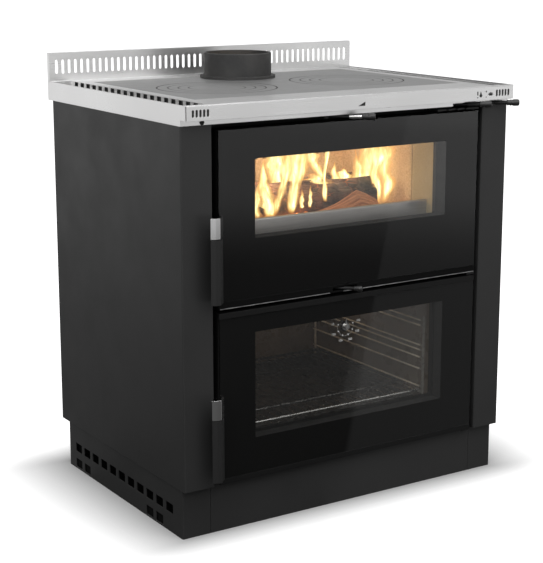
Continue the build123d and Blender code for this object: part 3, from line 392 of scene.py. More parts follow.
# %% [markdown]
# ## Glass
# The door panes are clear ceramic glass. A glass shader alone would shut the lamps out, because a
# shadow ray stops at it. A Light Path node lets shadow rays through a clear film instead, so the
# oven and the fire box get the room's light, and everything that is looked at still passes real
# glass. A faint haze of wiped dust in the roughness keeps the reflections from being perfect.

# %% Door glass
pane = Finish("ceramic_door_glass", 0.0, gloss=0.26)
pane.shader.inputs["Transmission Weight"].default_value = 1.0
pane.colour(pane.blend(pane.noise(3.0, 2.0), 0.3, 0.7, (0.93, 0.93, 0.92, 1),
                       (0.98, 0.98, 0.97, 1)))
pane.polish(pane.noise(6.0, 5.0, (1.0, 1.0, 2.5)), 0.0, 0.004, 0.5, 0.85)
film = pane.add("BsdfTransparent", {"Color": (0.9, 0.9, 0.89, 1)}).outputs[0]
shadow_ray = pane.add("LightPath").outputs["Is Shadow Ray"]
pane.show(pane.add("MixShader", {0: shadow_ray, 1: pane.shader.outputs[0], 2: film}).outputs[0])
finishes["door_glass"] = pane.material
print("glass:", pane.material.name)

# %% [markdown]
# ## Rope seals, grips and knobs
# The seals are braided glass-fibre rope pressed flat. Two crossing wave patterns, one leaning
# left and one right, look like a braid on the upright runs and on the level ones alike. The grips
# carry a soft black coat, and the knobs are moulded bakelite with a faint flow pattern.

# %% Rope, grip coat and bakelite
rope = Finish("braided_glass_rope", 0.92, gloss=0.15)
braid = []
for lean in (45, -45):
    leaning = rope.add("Mapping", {"Vector": rope.place, "Rotation": (0, math.radians(lean), 0)})
    wave = rope.add("TexWave", {"Vector": leaning.outputs[0], "Scale": 95.0, "Distortion": 0.8,
                                "Detail": 2.0})
    braid.append(wave.outputs["Fac"])
strands = rope.math("MULTIPLY", *braid)
yarn = rope.mix(strands, grey(0.16, 0.05), grey(0.42, 0.04))
rope.colour(rope.blend(rope.noise(16.0, 4.0), 0.4, 0.75, yarn, grey(0.07, 0.03), most=0.55))
rope.bump(strands, 0.8, 0.0012)
finishes["rope_seal"] = rope.material

coat = Finish("soft_grip_coat", 0.55, gloss=0.35)
coat.colour(coat.mix(coat.wear(0.0012, 120.0), grey(0.016), grey(0.045)))
coat.polish(coat.noise(70.0, 4.0), 0.46, 0.62)
coat.bump(coat.noise(1500.0, 2.0), 0.2, 0.0002, 0.0010)
finishes["grip_coat"] = coat.material

bakelite = Finish("black_bakelite", 0.3, gloss=0.5)
flow = bakelite.noise(40.0, 3.0, (1.0, 1.0, 3.0))
bakelite.colour(bakelite.blend(flow, 0.35, 0.7, grey(0.010), grey(0.018)))
bakelite.polish(flow, 0.24, 0.4)
bakelite.bump(bakelite.noise(400.0), 0.05, 0.0002, 0.0006)
finishes["knob_black"] = bakelite.material
print("finishes:", len(finishes))

# %% [markdown]
# ## Sheet that has seen fire
# A slot names a family, and a maker still picks from it. The log guard is the same iron family as
# the hearth, but rolled sheet that the heat has blued, so it is smoother and lighter, with a
# painted shade along its foot, where the door frame's edge shades it. The fire door's frame has the
# doors' paint, dulled and darker behind its glass.

# %% Log guard and fire door frame
guard = Finish("heat_blued_sheet", 0.38, metal=0.9)
guard_lines = guard.noise(1.0, 4.0, (8.0, 300.0, 300.0))
blued = guard.blend(guard.noise(9.0, 4.0), 0.35, 0.7, (0.42, 0.405, 0.40, 1), (0.52, 0.50, 0.48, 1))
rolled = guard.blend(guard_lines, 0.4, 0.7, blued, grey(0.34, 0.03), most=0.4)
guard_foot, shade_full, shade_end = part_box("log_guard")[0].z, 0.0065, 0.0095
# painted shade: the guard darkens to near black along its foot, under the frame's edge
painted_foot_shade = guard.span(guard.axis(2), guard_foot + shade_full, guard_foot + shade_end, 1.0, 0.0)
guard.colour(guard.mix(painted_foot_shade, rolled, grey(0.012, 0.05)))
guard.polish(guard_lines, 0.32, 0.44)
guard.bump(guard_lines, 0.06, 0.0002, 0.0012)

darkened = Finish("door_paint_darker_behind_glass", 0.6, gloss=0.04)
glass_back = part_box("fire_door_glass")[1].y
# behind the glass the paint turns darker and rougher
inside = darkened.span(darkened.axis(1), glass_back - 0.0010, glass_back, 0.0, 1.0)
outside = darkened.mix(darkened.noise(5.0), grey(0.0055), grey(0.0065))
darkened.colour(darkened.mix(inside, outside, grey(0.0025)))
satin = darkened.span(darkened.noise(11.0, 4.0), 0.3, 0.7, 0.45, 0.55)
darkened.roughness(darkened.math("ADD", satin, darkened.math("MULTIPLY", inside, 0.4)))
darkened.bump(darkened.noise(700.0, 2.0), 0.04, 0.0001, 0.0012)
print("the door frame is sooted behind y =", round(glass_back, 4))

# %% [markdown]
# ## Wires in the oven
# The side racks are bright drawn wire, darker at their front ends. The shelf is plated wire that
# keeps its shine at the front edge only: further in, oven heat has turned it brown. A span along
# Y places both.

# %% Rack and shelf wire
wire = Finish("bright_oven_wire", 0.32, metal=0.3)
wire_rub = wire.noise(120.0, 3.0)
drawn = wire.blend(wire_rub, 0.35, 0.7, (0.95, 0.90, 0.80, 1), (0.80, 0.74, 0.64, 1))
rack_front, dark_full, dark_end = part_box("oven_racks")[0].y, 0.006, 0.010
darker_front_ends = wire.span(wire.axis(1), rack_front + dark_full, rack_front + dark_end, 0.85, 0.0)
wire.colour(wire.mix(darker_front_ends, drawn, grey(0.05, 0.1)))
wire.polish(wire_rub, 0.26, 0.38)
wire.bump(wire.noise(500.0), 0.04, 0.0001)

shelf = Finish("heat_browned_shelf_wire", 0.24, metal=1.0)
shelf_rub = shelf.noise(90.0, 3.0)
plated = shelf.blend(shelf_rub, 0.35, 0.7, grey(0.78), grey(0.62, 0.02))
shelf_front, shine, dull_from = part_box("wire_shelf")[0].y, 0.045, 0.075
browned_back = shelf.span(shelf.axis(1), shelf_front + shine, shelf_front + dull_from, 0.0, 0.93)
shelf.colour(shelf.mix(browned_back, plated, grey(0.05, 0.08)))
shelf.polish(shelf_rub, 0.16, 0.32)
shelf.bump(shelf.noise(500.0), 0.04, 0.0001)
print("the shelf browns from y =", round(shelf_front + shine, 3))

# %% [markdown]
# ## A painted highlight and black coats
# A strip of bare steel under the fire door paints on the highlight of its folded edge. Hinges,
# levers and the floor frame are coated black, to vanish in the gaps; the floor frame and the base
# plate behind the plinth's vents are black partly as their coat and partly as painted shade that
# keeps the vents dark.

# %% Highlight steel, and who wears what
# painted highlight: bare steel standing in for the light that the door's lower edge catches
highlight_steel = Finish("painted_highlight_door_edge", 0.34, metal=0.85)
highlight_lines = highlight_steel.noise(1.0, 4.0, (35.0, 200.0, 200.0))
highlight_steel.colour(highlight_steel.blend(highlight_lines, 0.4, 0.65, grey(0.30), grey(0.55)))
highlight_steel.polish(highlight_lines, 0.28, 0.42)
highlight_steel.bump(highlight_lines, 0.05, 0.0001)

# partly painted shade: the floor frame is blacker than any paint, so the plinth's vents read black
shade_chassis = stove_paint("chassis_black_painted_shade", 0.003, 0.8, 0.1, 0.05)
black_coat_and_shade = stove_paint("black_hinge_coat_and_painted_shade", 0.012, 0.42, 0.35, 0.05)
own_finish = {"log_guard": guard.material, "fire_door_frame": darkened.material,
              "oven_racks": wire.material, "wire_shelf": shelf.material, "floor_frame": shade_chassis}
# the base plate behind the vents takes this black coat as painted shade; hinges, keepers and levers
# as their own coat
for hidden in ("hinge_brackets", "hinge_pins", "base_plate", "latch_keepers", "lever_brackets",
               "secondary_air_lever", "flue_damper_lever", "oven_damper_lever",
               "primary_air_lever"):
    own_finish[hidden] = black_coat_and_shade
print("finishes of their own:", len(own_finish))

# %% [markdown]
# ## Dress the solids
# The record already says which slot each solid takes its finish from, so one loop over it dresses
# them all. The solids keep their meshes; only the material in each slot changes.

# %% Put the finishes on
dressed = 0
for entry in frame["record"]["subparts"]:
    mesh = nodes[entry["node"]].data
    mesh.materials.clear()
    mesh.materials.append(own_finish.get(entry["node"], finishes[entry["material_slot"]]))
    dressed += 1
print("dressed:", dressed, "of", len(nodes))

# %% [markdown]
# ## Pieces at the origin
# What is left to make is small. Every piece is a mesh that has its place in its points, while its
# object stays at the origin, as the solids do: the export puts every object there, and a pattern
# on Object coordinates then keeps its grip. These helpers make such objects, write out what a
# modifier or a text would draw, and soften the shading.

# %% Objects at the origin
def placed(name, data):
    """A new object in the scene, at the origin, unturned and unscaled."""
    thing = bpy.data.objects.new(name, data)
    scene.collection.objects.link(thing)
    return thing


def new_piece(name, points, faces, material):
    """A mesh object from points and faces."""
    mesh = bpy.data.meshes.new(name)
    mesh.from_pydata([tuple(point) for point in points], [], faces)
    mesh.materials.append(material)
    mesh.validate()
    return placed(name, mesh)


def plain_mesh(thing):
    """What an object looks like with its modifiers or its text applied, as a mesh."""
    bpy.context.view_layer.update()
    evaluated = thing.evaluated_get(bpy.context.evaluated_depsgraph_get())
    return bpy.data.meshes.new_from_object(evaluated)


def smooth(piece, angle=35.0):
    """Soft shading with sharp lines kept where faces meet at more than the angle."""
    piece.data.shade_smooth()
    piece.data.set_sharp_from_angle(angle=math.radians(angle))
    return piece


def map_points(piece, around):
    """Gives every point its own place on a UV map."""
    uv = piece.data.uv_layers.new(name="UVMap")
    for loop in piece.data.loops:
        uv.data[loop.index].uv = around[loop.vertex_index]


# %% [markdown]
# ## Turning
# A knob is turned on an axis. Its profile is a list of distances along the axis and radii; spun
# round, it gives ring after ring of points, and the faces between two rings follow by counting. The
# same faces close a screw head and a tongue of flame, so they have a function of their own.

# %% Turn a profile
def tube_faces(rings, count, first=0):
    """Faces of a closed tube whose points come ring after ring: its wall, then its caps."""
    faces = []
    for ring in range(rings - 1):
        low = first + ring * count
        for step in range(count):
            after = (step + 1) % count
            faces.append((low + step, low + after, low + count + after, low + count + step))
    last = first + (rings - 1) * count
    faces.append(tuple(first + step for step in reversed(range(count))))
    faces.append(tuple(last + step for step in range(count)))
    return faces


def turned(profile, start, direction, count=32):
    """Points and faces of a profile of (distance, radius) spun round an axis from its start."""
    along = Vector(direction).normalized()
    side = along.orthogonal().normalized()
    up = along.cross(side)
    start = Vector(start)
    points = []
    for distance, radius in profile:
        for step in range(count):
            angle = 2 * math.pi * step / count
            spoke = side * math.cos(angle) + up * math.sin(angle)
            points.append(start + along * distance + spoke * radius)
    return points, tube_faces(len(profile), count)


print("a rod of two rings has", len(tube_faces(2, 32)), "faces")

# %% [markdown]
# ## Small boxes
# A folded edge, a wing or the bar between two openings is a strip with square corners. One function
# adds such a box to a mesh, and another makes a piece of as many boxes as it needs.

# %% Stack boxes
def add_box(points, faces, low, high):
    """Adds the eight corners and six outward faces of a small upright box to the lists."""
    first = len(points)
    points += [(x, y, z) for z in (low[2], high[2]) for x, y in
               ((low[0], low[1]), (high[0], low[1]), (high[0], high[1]), (low[0], high[1]))]
    faces += [tuple(first + corner for corner in side) for side in
              ((3, 2, 1, 0), (4, 5, 6, 7), (0, 1, 5, 4), (1, 2, 6, 5), (2, 3, 7, 6), (3, 0, 4, 7))]


def boxed(name, boxes, material):
    """One piece of many boxes, each given by its two opposite corners."""
    points, faces = [], []
    for low, high in boxes:
        add_box(points, faces, low, high)
    return new_piece(name, points, faces, material)


corners, sides = [], []
add_box(corners, sides, cad_low, cad_high)
print("a box round the whole cooker has", len(corners), "corners and", len(sides), "faces")

# %% [markdown]
# ## Cutting into a copy of a solid
# The side air slots of the real worktop stand upright: a shallow gutter runs inside each side
# rim, and square openings pierce its inner wall. The solid has the same slots lying flat, and it
# may not be changed. So a copy of it is cut with a Boolean and stands in its place. A solid comes
# in as loose triangles, and a Boolean needs a closed skin, so the copy's points are merged first.

# %% A reshaped copy
def reshaped(node, name, cuts, fills):
    """A merged copy of a solid with some boxes cut out of it, and others joined to it."""
    copy = placed(name, nodes[node].data.copy())
    shell = bmesh.new()
    shell.from_mesh(copy.data)
    bmesh.ops.remove_doubles(shell, verts=shell.verts, dist=0.00001)
    shell.to_mesh(copy.data)
    shell.free()
    tools = []
    for operation, boxes in (("DIFFERENCE", cuts), ("UNION", fills)):
        tools.append(boxed(name + "_" + operation.lower(), boxes, finishes["stainless"]))
        modifier = copy.modifiers.new(operation, "BOOLEAN")
        modifier.operation = operation
        modifier.object = tools[-1]
        modifier.solver = "EXACT"
    mesh = plain_mesh(copy)
    for spent in [copy] + tools:
        bpy.data.objects.remove(spent)
    return placed(name, mesh)


def beside(side, near, far, y0, y1, z0, z1):
    """A box between two distances from the middle, on the left (-1) or the right (1)."""
    x0, x1 = sorted((side * near, side * far))
    return (x0, y0, z0), (x1, y1, z1)


top_low, top_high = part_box("top_frame")
print("the worktop's sheet spans z =", round(top_low.z, 4), "to", round(top_high.z, 4))

# %% [markdown]
# ## Gutters along the worktop
# The copy is opened along each side and the strip beside the hob made whole. A floor, two end
# plates and a pierced wall of thin sheet line the cut. A dark sheet behind the wall is painted
# shade, standing in for the shade under the hob on the real one. The wall's openings are left
# between its bars, so they need no cutting.

# %% Cut and line the gutters
sheet, hair_gap = 0.0015, 0.0001
strip_edge, gutter_wall, rim = 0.3465, 0.350, top_high.x - sheet
gutter_deep, wall_thick, sill_rise = 0.021, 0.0012, 0.0006
gutter_front, gutter_back = top_low.y + 0.008, top_high.y - 0.016
opening_count, opening_pitch, opening_width, opening_height = 20, 0.0288, 0.0178, 0.0155
first_opening = -0.282
cut_down, cut_up, overlap, floor_reach = 0.004, 0.002, 0.0005, 0.006
shade_back, shade_face = 0.0050, 0.0040

foot = top_high.z - gutter_deep
under_top = top_high.z - sheet - hair_gap
sill = top_high.z - sheet - sill_rise - opening_height
bar_edges = [gutter_front]
for opening in range(opening_count):
    middle = first_opening + opening * opening_pitch
    bar_edges += [middle - opening_width / 2, middle + opening_width / 2]
bar_edges.append(gutter_back)

cuts, fills, plates, shades = [], [], [], []
for side in (-1, 1):
    cuts.append(beside(side, strip_edge, rim, gutter_front, gutter_back,
                       top_high.z - cut_down, top_high.z + cut_up))
    fills.append(beside(side, strip_edge - overlap, gutter_wall, gutter_front - overlap,
                        gutter_back + overlap, top_high.z - sheet, top_high.z))
    floor_near = gutter_wall - floor_reach
    plates.append(beside(side, floor_near, rim, gutter_front, gutter_back, foot - sheet, foot))
    for y0, y1 in ((gutter_front - sheet, gutter_front), (gutter_back, gutter_back + sheet)):
        plates.append(beside(side, floor_near, rim, y0, y1, foot - sheet, under_top))
    shades.append(beside(side, gutter_wall - shade_back, gutter_wall - shade_face,
                         gutter_front, gutter_back, foot, under_top))
    wall = (side, gutter_wall - wall_thick, gutter_wall)
    plates.append(beside(*wall, gutter_front, gutter_back, foot, sill))
    for y0, y1 in zip(bar_edges[::2], bar_edges[1::2]):
        plates.append(beside(*wall, y0, y1, sill, under_top))

worktop = reshaped("top_frame", "worktop_with_gutters", cuts, fills)
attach(worktop, "cooker")
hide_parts("top_frame")
lining_plates = boxed("gutter_linings", plates, finishes["stainless"])
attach(lining_plates, "cooker")
# painted shade: a dark sheet behind each gutter's pierced wall
shade_plates = boxed("gutter_baffles", shades, black_coat_and_shade)
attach(shade_plates, "cooker")
print("gutters:", opening_count, "openings a side,", len(worktop.data.polygons), "faces on top")

# %% [markdown]
# ## A painted highlight on the door's edge
# Below the fire door's frame runs a folded edge, and the light it catches shows as one thin pale
# line. A strip of bare steel paints that highlight on, with a gap where the air lever comes out, so
# two strips make it.

# %% Door edge
door_low, door_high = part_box("fire_door_frame")
lever_low, lever_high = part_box("primary_air_lever")
edge_inset, lever_gap, edge_low, edge_high = 0.002, 0.004, 0.0004, 0.0018
lever_room, edge_proud, edge_sunk = 0.030, 0.0006, 0.0010
strips = []
for start, end in ((door_low.x + edge_inset, lever_low.x - lever_gap),
                   (lever_low.x + lever_room, door_high.x - edge_inset)):
    strips.append(((start, door_low.y - edge_proud, door_low.z + edge_low),
                   (end, door_low.y + edge_sunk, door_low.z + edge_high)))
door_edge_highlight = boxed("fire_door_rubbed_edge", strips, highlight_steel.material)
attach(door_edge_highlight, "fire_door")
print("door edge: from", [round(low[0], 3) for low, high in strips])

# %% [markdown]
# ## Round the fire
# Two small wings close the log guard against the side bricks, and a row of air jets opens in the
# bricks behind the fire. From where it is seen a jet shows only as the shade in its hole, so a dark
# strip that stands less than half a millimetre proud of the brick paints that shade on, and the
# brick stays whole.

# %% Guard wings and air jets
guard_low, guard_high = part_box("log_guard")
wing, wing_inset, wing_front, wing_back = 0.011, 0.001, 0.0005, 0.0020
wings = [((x, guard_low.y + wing_front, guard_low.z + wing_inset),
          (x + wing, guard_low.y + wing_back, guard_high.z - wing_inset))
         for x in (guard_low.x - wing, guard_high.x)]
hooks = boxed("log_guard_end_wings", wings, guard.material)
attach(hooks, "cooker")

jet_count, jet_pitch, jet_middle, jet_z = 11, 0.033, 0.029, 0.686
jet_half_x, jet_half_z, jet_proud, jet_sunk = 0.0095, 0.003, 0.0004, 0.002
jet_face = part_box("back_firebricks")[0].y
jet_boxes = []
for jet in range(jet_count):
    x = jet_middle + (jet - jet_count // 2) * jet_pitch
    jet_boxes.append(((x - jet_half_x, jet_face - jet_proud, jet_z - jet_half_z),
                      (x + jet_half_x, jet_face + jet_sunk, jet_z + jet_half_z)))
# painted shade: dark strips for the shade inside the jets' holes
jets = boxed("air_jets", jet_boxes, black_coat_and_shade)
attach(jets, "cooker")
print(len(wings), "wings and", jet_count, "air jets on the bricks' face at y =", round(jet_face, 3))

# %% [markdown]
# ## Control knobs
# Four levers carry black knobs. On the real cooker each is a moulded sleeve with two finger
# grooves and a domed end, pushed on a ribbed ferrule. The solid under it is a plain bar, so the
# turned knob and its ferrule stand for it and ride on the same lever. Only the middle ferrule is
# left bright. The sleeve's profile is drawn in shares of its length and radius, so one serves
# both knob sizes.

# %% Turn the knobs
knob_levers = {  # body, degrees off X, radius, length
    "secondary_air_knob": ("secondary_air", 35.4, 0.0072, 0.042),
    "flue_damper_knob": ("flue_damper", 27.0, 0.0072, 0.042),
    "oven_damper_knob": ("oven_damper", 32.0, 0.0072, 0.042),
    "primary_air_knob": ("primary_air", 42.0, 0.0060, 0.028),
}
sleeve_profile = [
    (0.36, 0.62), (0.37, 0.80), (0.40, 0.88), (0.43, 0.88), (0.46, 0.78), (0.50, 0.78),
    (0.53, 0.90), (0.57, 0.92), (0.60, 0.84), (0.64, 0.84), (0.67, 0.96), (0.78, 1.0),
    (0.90, 0.99), (0.96, 0.90), (0.985, 0.72), (0.995, 0.40),
]
ferrule_start, ferrule_end, rib_count = -0.0100, 0.37, 9
ferrule_tip, tip_ahead = 0.42, 0.0004
rib_shape = [(0.0, 0.62), (0.55, 0.62), (0.70, 0.50), (0.92, 0.50)]
for knob_node, (body, angle, radius, length) in knob_levers.items():
    low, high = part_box(knob_node)
    direction = Vector((math.cos(math.radians(angle)), -math.sin(math.radians(angle)), 0))
    foot = (low + high) / 2 - direction * length / 2
    sleeve = [(share * length, width * radius) for share, width in sleeve_profile]
    points, faces = turned(sleeve, foot, direction)
    knob = smooth(new_piece(knob_node + "_turned", points, faces, finishes["knob_black"]))
    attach(knob, body)
    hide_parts(knob_node)

    ribs = [(ferrule_start - tip_ahead, radius * ferrule_tip)]
    rib_step = (length * ferrule_end - ferrule_start) / rib_count
    for rib in range(rib_count):
        start = ferrule_start + rib * rib_step
        ribs += [(start + rib_step * share, radius * width) for share, width in rib_shape]
    bright = knob_node == "secondary_air_knob"
    points, faces = turned(ribs, foot, direction, 20)
    ferrule = smooth(new_piece(knob_node + "_ferrule", points, faces,
                               finishes["chrome"] if bright else black_coat_and_shade))
    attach(ferrule, body)
print("knobs:", len(knob_levers), "with ribbed ferrules of", rib_count, "ribs")

# %% [markdown]
# ## One screw head
# The rear panel is held by button-head screws, and one more shows under the left end of the
# fascia. They are all one shape, so it is modelled once: a low dome in four rings, with a hexagon
# socket cut into it. A hexagon's edge is a straight line between two corners, so its radius
# follows from the cosine of the angle to the flat's middle.

# %% Model one screw head
def screw_head():
    """A button head on +Z with a hexagon socket, as a mesh of a few dozen faces."""
    count, flat = 24, math.pi / 3
    dome = [(0.0048, 0.0), (0.0048, 0.0010), (0.0043, 0.0021), (0.0033, 0.0027)]
    socket_radius, socket_top, socket_floor = 0.0021, 0.0028, 0.0010
    turns = [2 * math.pi * step / count for step in range(count)]
    points = [Vector((radius * math.cos(turn), radius * math.sin(turn), height))
              for radius, height in dome for turn in turns]
    for height in (socket_top, socket_floor):
        for turn in turns:
            within = (turn % flat) - flat / 2
            reach = socket_radius * math.cos(flat / 2) / math.cos(within)
            points.append(Vector((reach * math.cos(turn), reach * math.sin(turn), height)))
    faces = tube_faces(len(dome) + 2, count)
    return smooth(new_piece("screw_head_model", points, faces, finishes["dark_iron"]), 30.0)


def loose_solids(node, cell=0.02):
    """The points of each loose solid inside one node, gathered by small cells of the X-Z plane."""
    seen = {}
    for vertex in nodes[node].data.vertices:
        key = (round(vertex.co.x / cell), round(vertex.co.z / cell))
        seen.setdefault(key, []).append(vertex.co)
    groups = []
    for spots in seen.values():
        for group in groups:
            if any((spots[0] - other).length < cell for other in group):
                group.extend(spots)
                break
        else:
            groups.append(list(spots))
    return groups


screw_spots = []
for group in loose_solids("casing_screws"):
    middle = sum(group, Vector()) / len(group)
    facing = Vector((0, 1, 0)) if middle.y > 0 else Vector((0, -1, 0))
    near = min(group, key=lambda spot: spot.dot(facing))
    screw_spots.append((Vector((middle.x, near.y, middle.z)), facing))
print("screws:", len(screw_spots), [tuple(round(v, 3) for v in spot) for spot, _ in screw_spots])

# %% [markdown]
# ## Carriers and baking
# Placing one shape on many points is work for Geometry Nodes. The points are a small mesh of their
# own, the carrier, and each can hold the way it faces as an attribute. Baking writes down what the
# tree grew as a plain mesh and takes the carrier away. A modifier's input goes by its identifier,
# so the names are looked up in the tree.

# %% Trees, carriers and baking
def tree_with(name, inputs):
    """An empty Geometry Nodes tree with named inputs; inputs are (name, socket type, value)."""
    tree = bpy.data.node_groups.new(name, "GeometryNodeTree")
    tree.interface.new_socket("Geometry", in_out="INPUT", socket_type="NodeSocketGeometry")
    for label, kind, value in inputs:
        socket = tree.interface.new_socket(label, in_out="INPUT", socket_type="NodeSocket" + kind)
        if value is not None:
            socket.default_value = value
    tree.interface.new_socket("Geometry", in_out="OUTPUT", socket_type="NodeSocketGeometry")
    return tree, tree.nodes.new("NodeGroupInput"), tree.nodes.new("NodeGroupOutput")


def baked(name, carrier, tree, values):
    """Runs the tree on the carrier, and leaves a plain mesh object in the carrier's place."""
    modifier = carrier.modifiers.new("grow", "NODES")
    modifier.node_group = tree
    for item in tree.interface.items_tree:
        if item.in_out == "INPUT" and item.name in values:
            modifier[item.identifier] = values[item.name]
    mesh = plain_mesh(carrier)
    carrier.modifiers.remove(modifier)
    bpy.data.objects.remove(carrier)
    return placed(name, mesh)


def points_object(name, spots, facings=None):
    """A mesh of loose points, with the way each one faces as an attribute."""
    mesh = bpy.data.meshes.new(name)
    mesh.from_pydata([tuple(spot) for spot in spots], [], [])
    if facings:
        stored = mesh.attributes.new("facing", "FLOAT_VECTOR", "POINT")
        stored.data.foreach_set("vector", [value for facing in facings for value in facing])
    return placed(name, mesh)


print("node trees so far:", len(bpy.data.node_groups))

# %% [markdown]
# ## One tree for screws and embers
# The tree puts the shape on every point, turns it, sizes it between Size less Jitter and Size plus
# Jitter, and makes the copies real at the end, because an export drops instances. A screw turns to
# face the way its point says; an ember takes a seeded random turn.

# %% The instancing tree
def instancing_tree(name, turn_from_normal):
    """Puts the Shape object on every point of a mesh, scaled by Size, and makes the copies real."""
    tree, given, result = tree_with(name, [
        ("Shape", "Object", None), ("Size", "Float", 1.0), ("Jitter", "Float", 0.0),
        ("Finish", "Material", None)])
    link = tree.links.new

    def node(kind, **settings):
        made = tree.nodes.new(kind)
        for setting, value in settings.items():
            setattr(made, setting, value)
        return made

    shape = node("GeometryNodeObjectInfo")
    link(given.outputs["Shape"], shape.inputs["Object"])
    place = node("GeometryNodeInstanceOnPoints")
    link(given.outputs["Geometry"], place.inputs["Points"])
    link(shape.outputs["Geometry"], place.inputs["Instance"])
    if turn_from_normal:
        facing = node("GeometryNodeInputNamedAttribute", data_type="FLOAT_VECTOR")
        facing.inputs["Name"].default_value = "facing"
        align = node("FunctionNodeAlignRotationToVector", axis="Z")
        link(facing.outputs["Attribute"], align.inputs["Vector"])
        link(align.outputs["Rotation"], place.inputs["Rotation"])
    else:
        spin = node("FunctionNodeRandomValue", data_type="FLOAT_VECTOR")
        spin.inputs["Max"].default_value = (math.tau, math.tau, math.tau)
        spin.inputs["Seed"].default_value = 7
        link(spin.outputs["Value"], place.inputs["Rotation"])
    spread = node("FunctionNodeRandomValue", data_type="FLOAT")
    spread.inputs["Seed"].default_value = 11
    for operation, limit in (("SUBTRACT", 2), ("ADD", 3)):
        sized = node("ShaderNodeMath", operation=operation)
        link(given.outputs["Size"], sized.inputs[0])
        link(given.outputs["Jitter"], sized.inputs[1])
        link(sized.outputs[0], spread.inputs[limit])
    link(spread.outputs[1], place.inputs["Scale"])
    real = node("GeometryNodeRealizeInstances")
    link(place.outputs["Instances"], real.inputs["Geometry"])
    skin = node("GeometryNodeSetMaterial")
    link(real.outputs["Geometry"], skin.inputs["Geometry"])
    link(given.outputs["Finish"], skin.inputs["Material"])
    link(skin.outputs["Geometry"], result.inputs["Geometry"])
    return tree


screw_tree = instancing_tree("screws_on_points", True)
print("screw tree:", len(screw_tree.nodes), "nodes")

# %% [markdown]
# ## Screws in place
# The model is baked onto its points, and one mesh of all heads stands for the plain solids.

# %% Place the screws
head_model = screw_head()
screw_points = points_object("screw_points", [spot for spot, _ in screw_spots],
                             [facing for _, facing in screw_spots])
screws = baked("casing_screw_heads", screw_points, screw_tree,
               {"Shape": head_model, "Size": 1.0, "Jitter": 0.0, "Finish": finishes["dark_iron"]})
bpy.data.objects.remove(head_model)
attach(screws, "cooker")
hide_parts("casing_screws")
print("screw faces:", len(screws.data.polygons))

# %% [markdown]
# ## Signs on the fascia
# Beside each lever a small black sign tells what it does: a wedge that grows from closed to open,
# a drop, a little pot, and a bar over a dot. They carry no lettering. Each is drawn here as an
# outline of (x, z) on the fascia's face, with round parts from a formula.

# %% Ink and outlines
ink_and_shade = Finish("black_print_ink_and_slot_shade", 0.45, gloss=0.4)
ink_and_shade.colour(ink_and_shade.blend(ink_and_shade.noise(600.0), 0.4, 0.7, grey(0.012), grey(0.024)))
ink_and_shade.bump(ink_and_shade.noise(900.0), 0.1, 0.0001)


def ring_of(x, z, half_x, half_z, count=20):
    """The points of an ellipse on the fascia, in metres."""
    turns = [math.tau * step / count for step in range(count)]
    return [(x + half_x * math.cos(turn), z + half_z * math.sin(turn)) for turn in turns]


def rectangle(x0, x1, z0, z1):
    return [(x0, z0), (x1, z0), (x1, z1), (x0, z1)]


drop_x, drop_z, drop_radius, drop_tip = 0.3080, 0.8412, 0.0036, (0.3076, 0.8500)
drop_turns = [math.radians(angle) for angle in range(140, -141, -20)]
mark_outlines = [
    [(-0.0085, 0.8375), (0.0085, 0.8375), (0.0085, 0.8455)],  # wedge
    rectangle(0.2982, 0.3008, 0.8420, 0.8500),  # bar over a dot
    ring_of(0.2995, 0.8375, 0.0013, 0.0014),
    [drop_tip] + [(drop_x + drop_radius * math.sin(turn), drop_z - drop_radius * math.cos(turn))
                  for turn in drop_turns],
    rectangle(0.3212, 0.3238, 0.8475, 0.8505),  # short bar over a dot
    ring_of(0.3225, 0.8375, 0.0011, 0.0012),
    rectangle(0.3305, 0.3395, 0.8400, 0.8445),  # pot, lid, its knob and two handles
    rectangle(0.3290, 0.3410, 0.8447, 0.8459),
    rectangle(0.3337, 0.3363, 0.8461, 0.8474),
    rectangle(0.3278, 0.3303, 0.8420, 0.8432),
    rectangle(0.3397, 0.3422, 0.8420, 0.8432),
]
print("marks:", len(mark_outlines), "outlines")

# %% [markdown]
# ## Printing them
# A screen print has next to no thickness, so each outline is filled and stands a quarter of a
# millimetre proud. A filled face looks outwards only if its points run the right way round, which
# the sign of its area tells. The slots at the fascia's ends are real holes; a dark plate behind
# them is painted shade, for the shade inside the hollow bar.

# %% Print the fascia marks and paint the slots' shade
fascia_low, fascia_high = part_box("fascia_bar")
face_y, ink_depth = fascia_low.y, 0.00025
points, faces = [], []
for outline in mark_outlines:
    first = len(points)
    size = len(outline)
    points += [(x, face_y - ink_depth, z) for x, z in outline]
    points += [(x, face_y + ink_depth / 4, z) for x, z in outline]
    area = sum(a[0] * b[1] - b[0] * a[1] for a, b in zip(outline, outline[1:] + outline[:1]))
    order = list(range(size)) if area > 0 else list(reversed(range(size)))
    faces.append(tuple(first + step for step in order))
    faces.append(tuple(first + size + step for step in reversed(order)))
    for here, after in zip(order, order[1:] + order[:1]):
        faces.append((first + after, first + here, first + size + here, first + size + after))

# painted shade: a dark plate behind each end slot
slot_middle, slot_pitch, slot_half_x, slot_half_z = 0.368, 0.008, 0.0026, 0.0071
slots_a_side, slot_shade_depth, slot_shade_front, slot_shade_rear = 5, 0.0020, 0.0006, 0.0001
slot_z = (fascia_low.z + fascia_high.z) / 2
back_y = face_y + slot_shade_depth
for side in (-1, 1):
    for step in range(slots_a_side):
        x = side * slot_middle + (step - slots_a_side // 2) * slot_pitch
        add_box(points, faces, (x - slot_half_x, back_y - slot_shade_front, slot_z - slot_half_z),
                (x + slot_half_x, back_y + slot_shade_rear, slot_z + slot_half_z))
marks = new_piece("fascia_marks", points, faces, ink_and_shade.material)
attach(marks, "cooker")
print("printed on the plane y =", round(face_y, 4), "with", slots_a_side, "slots at each end")

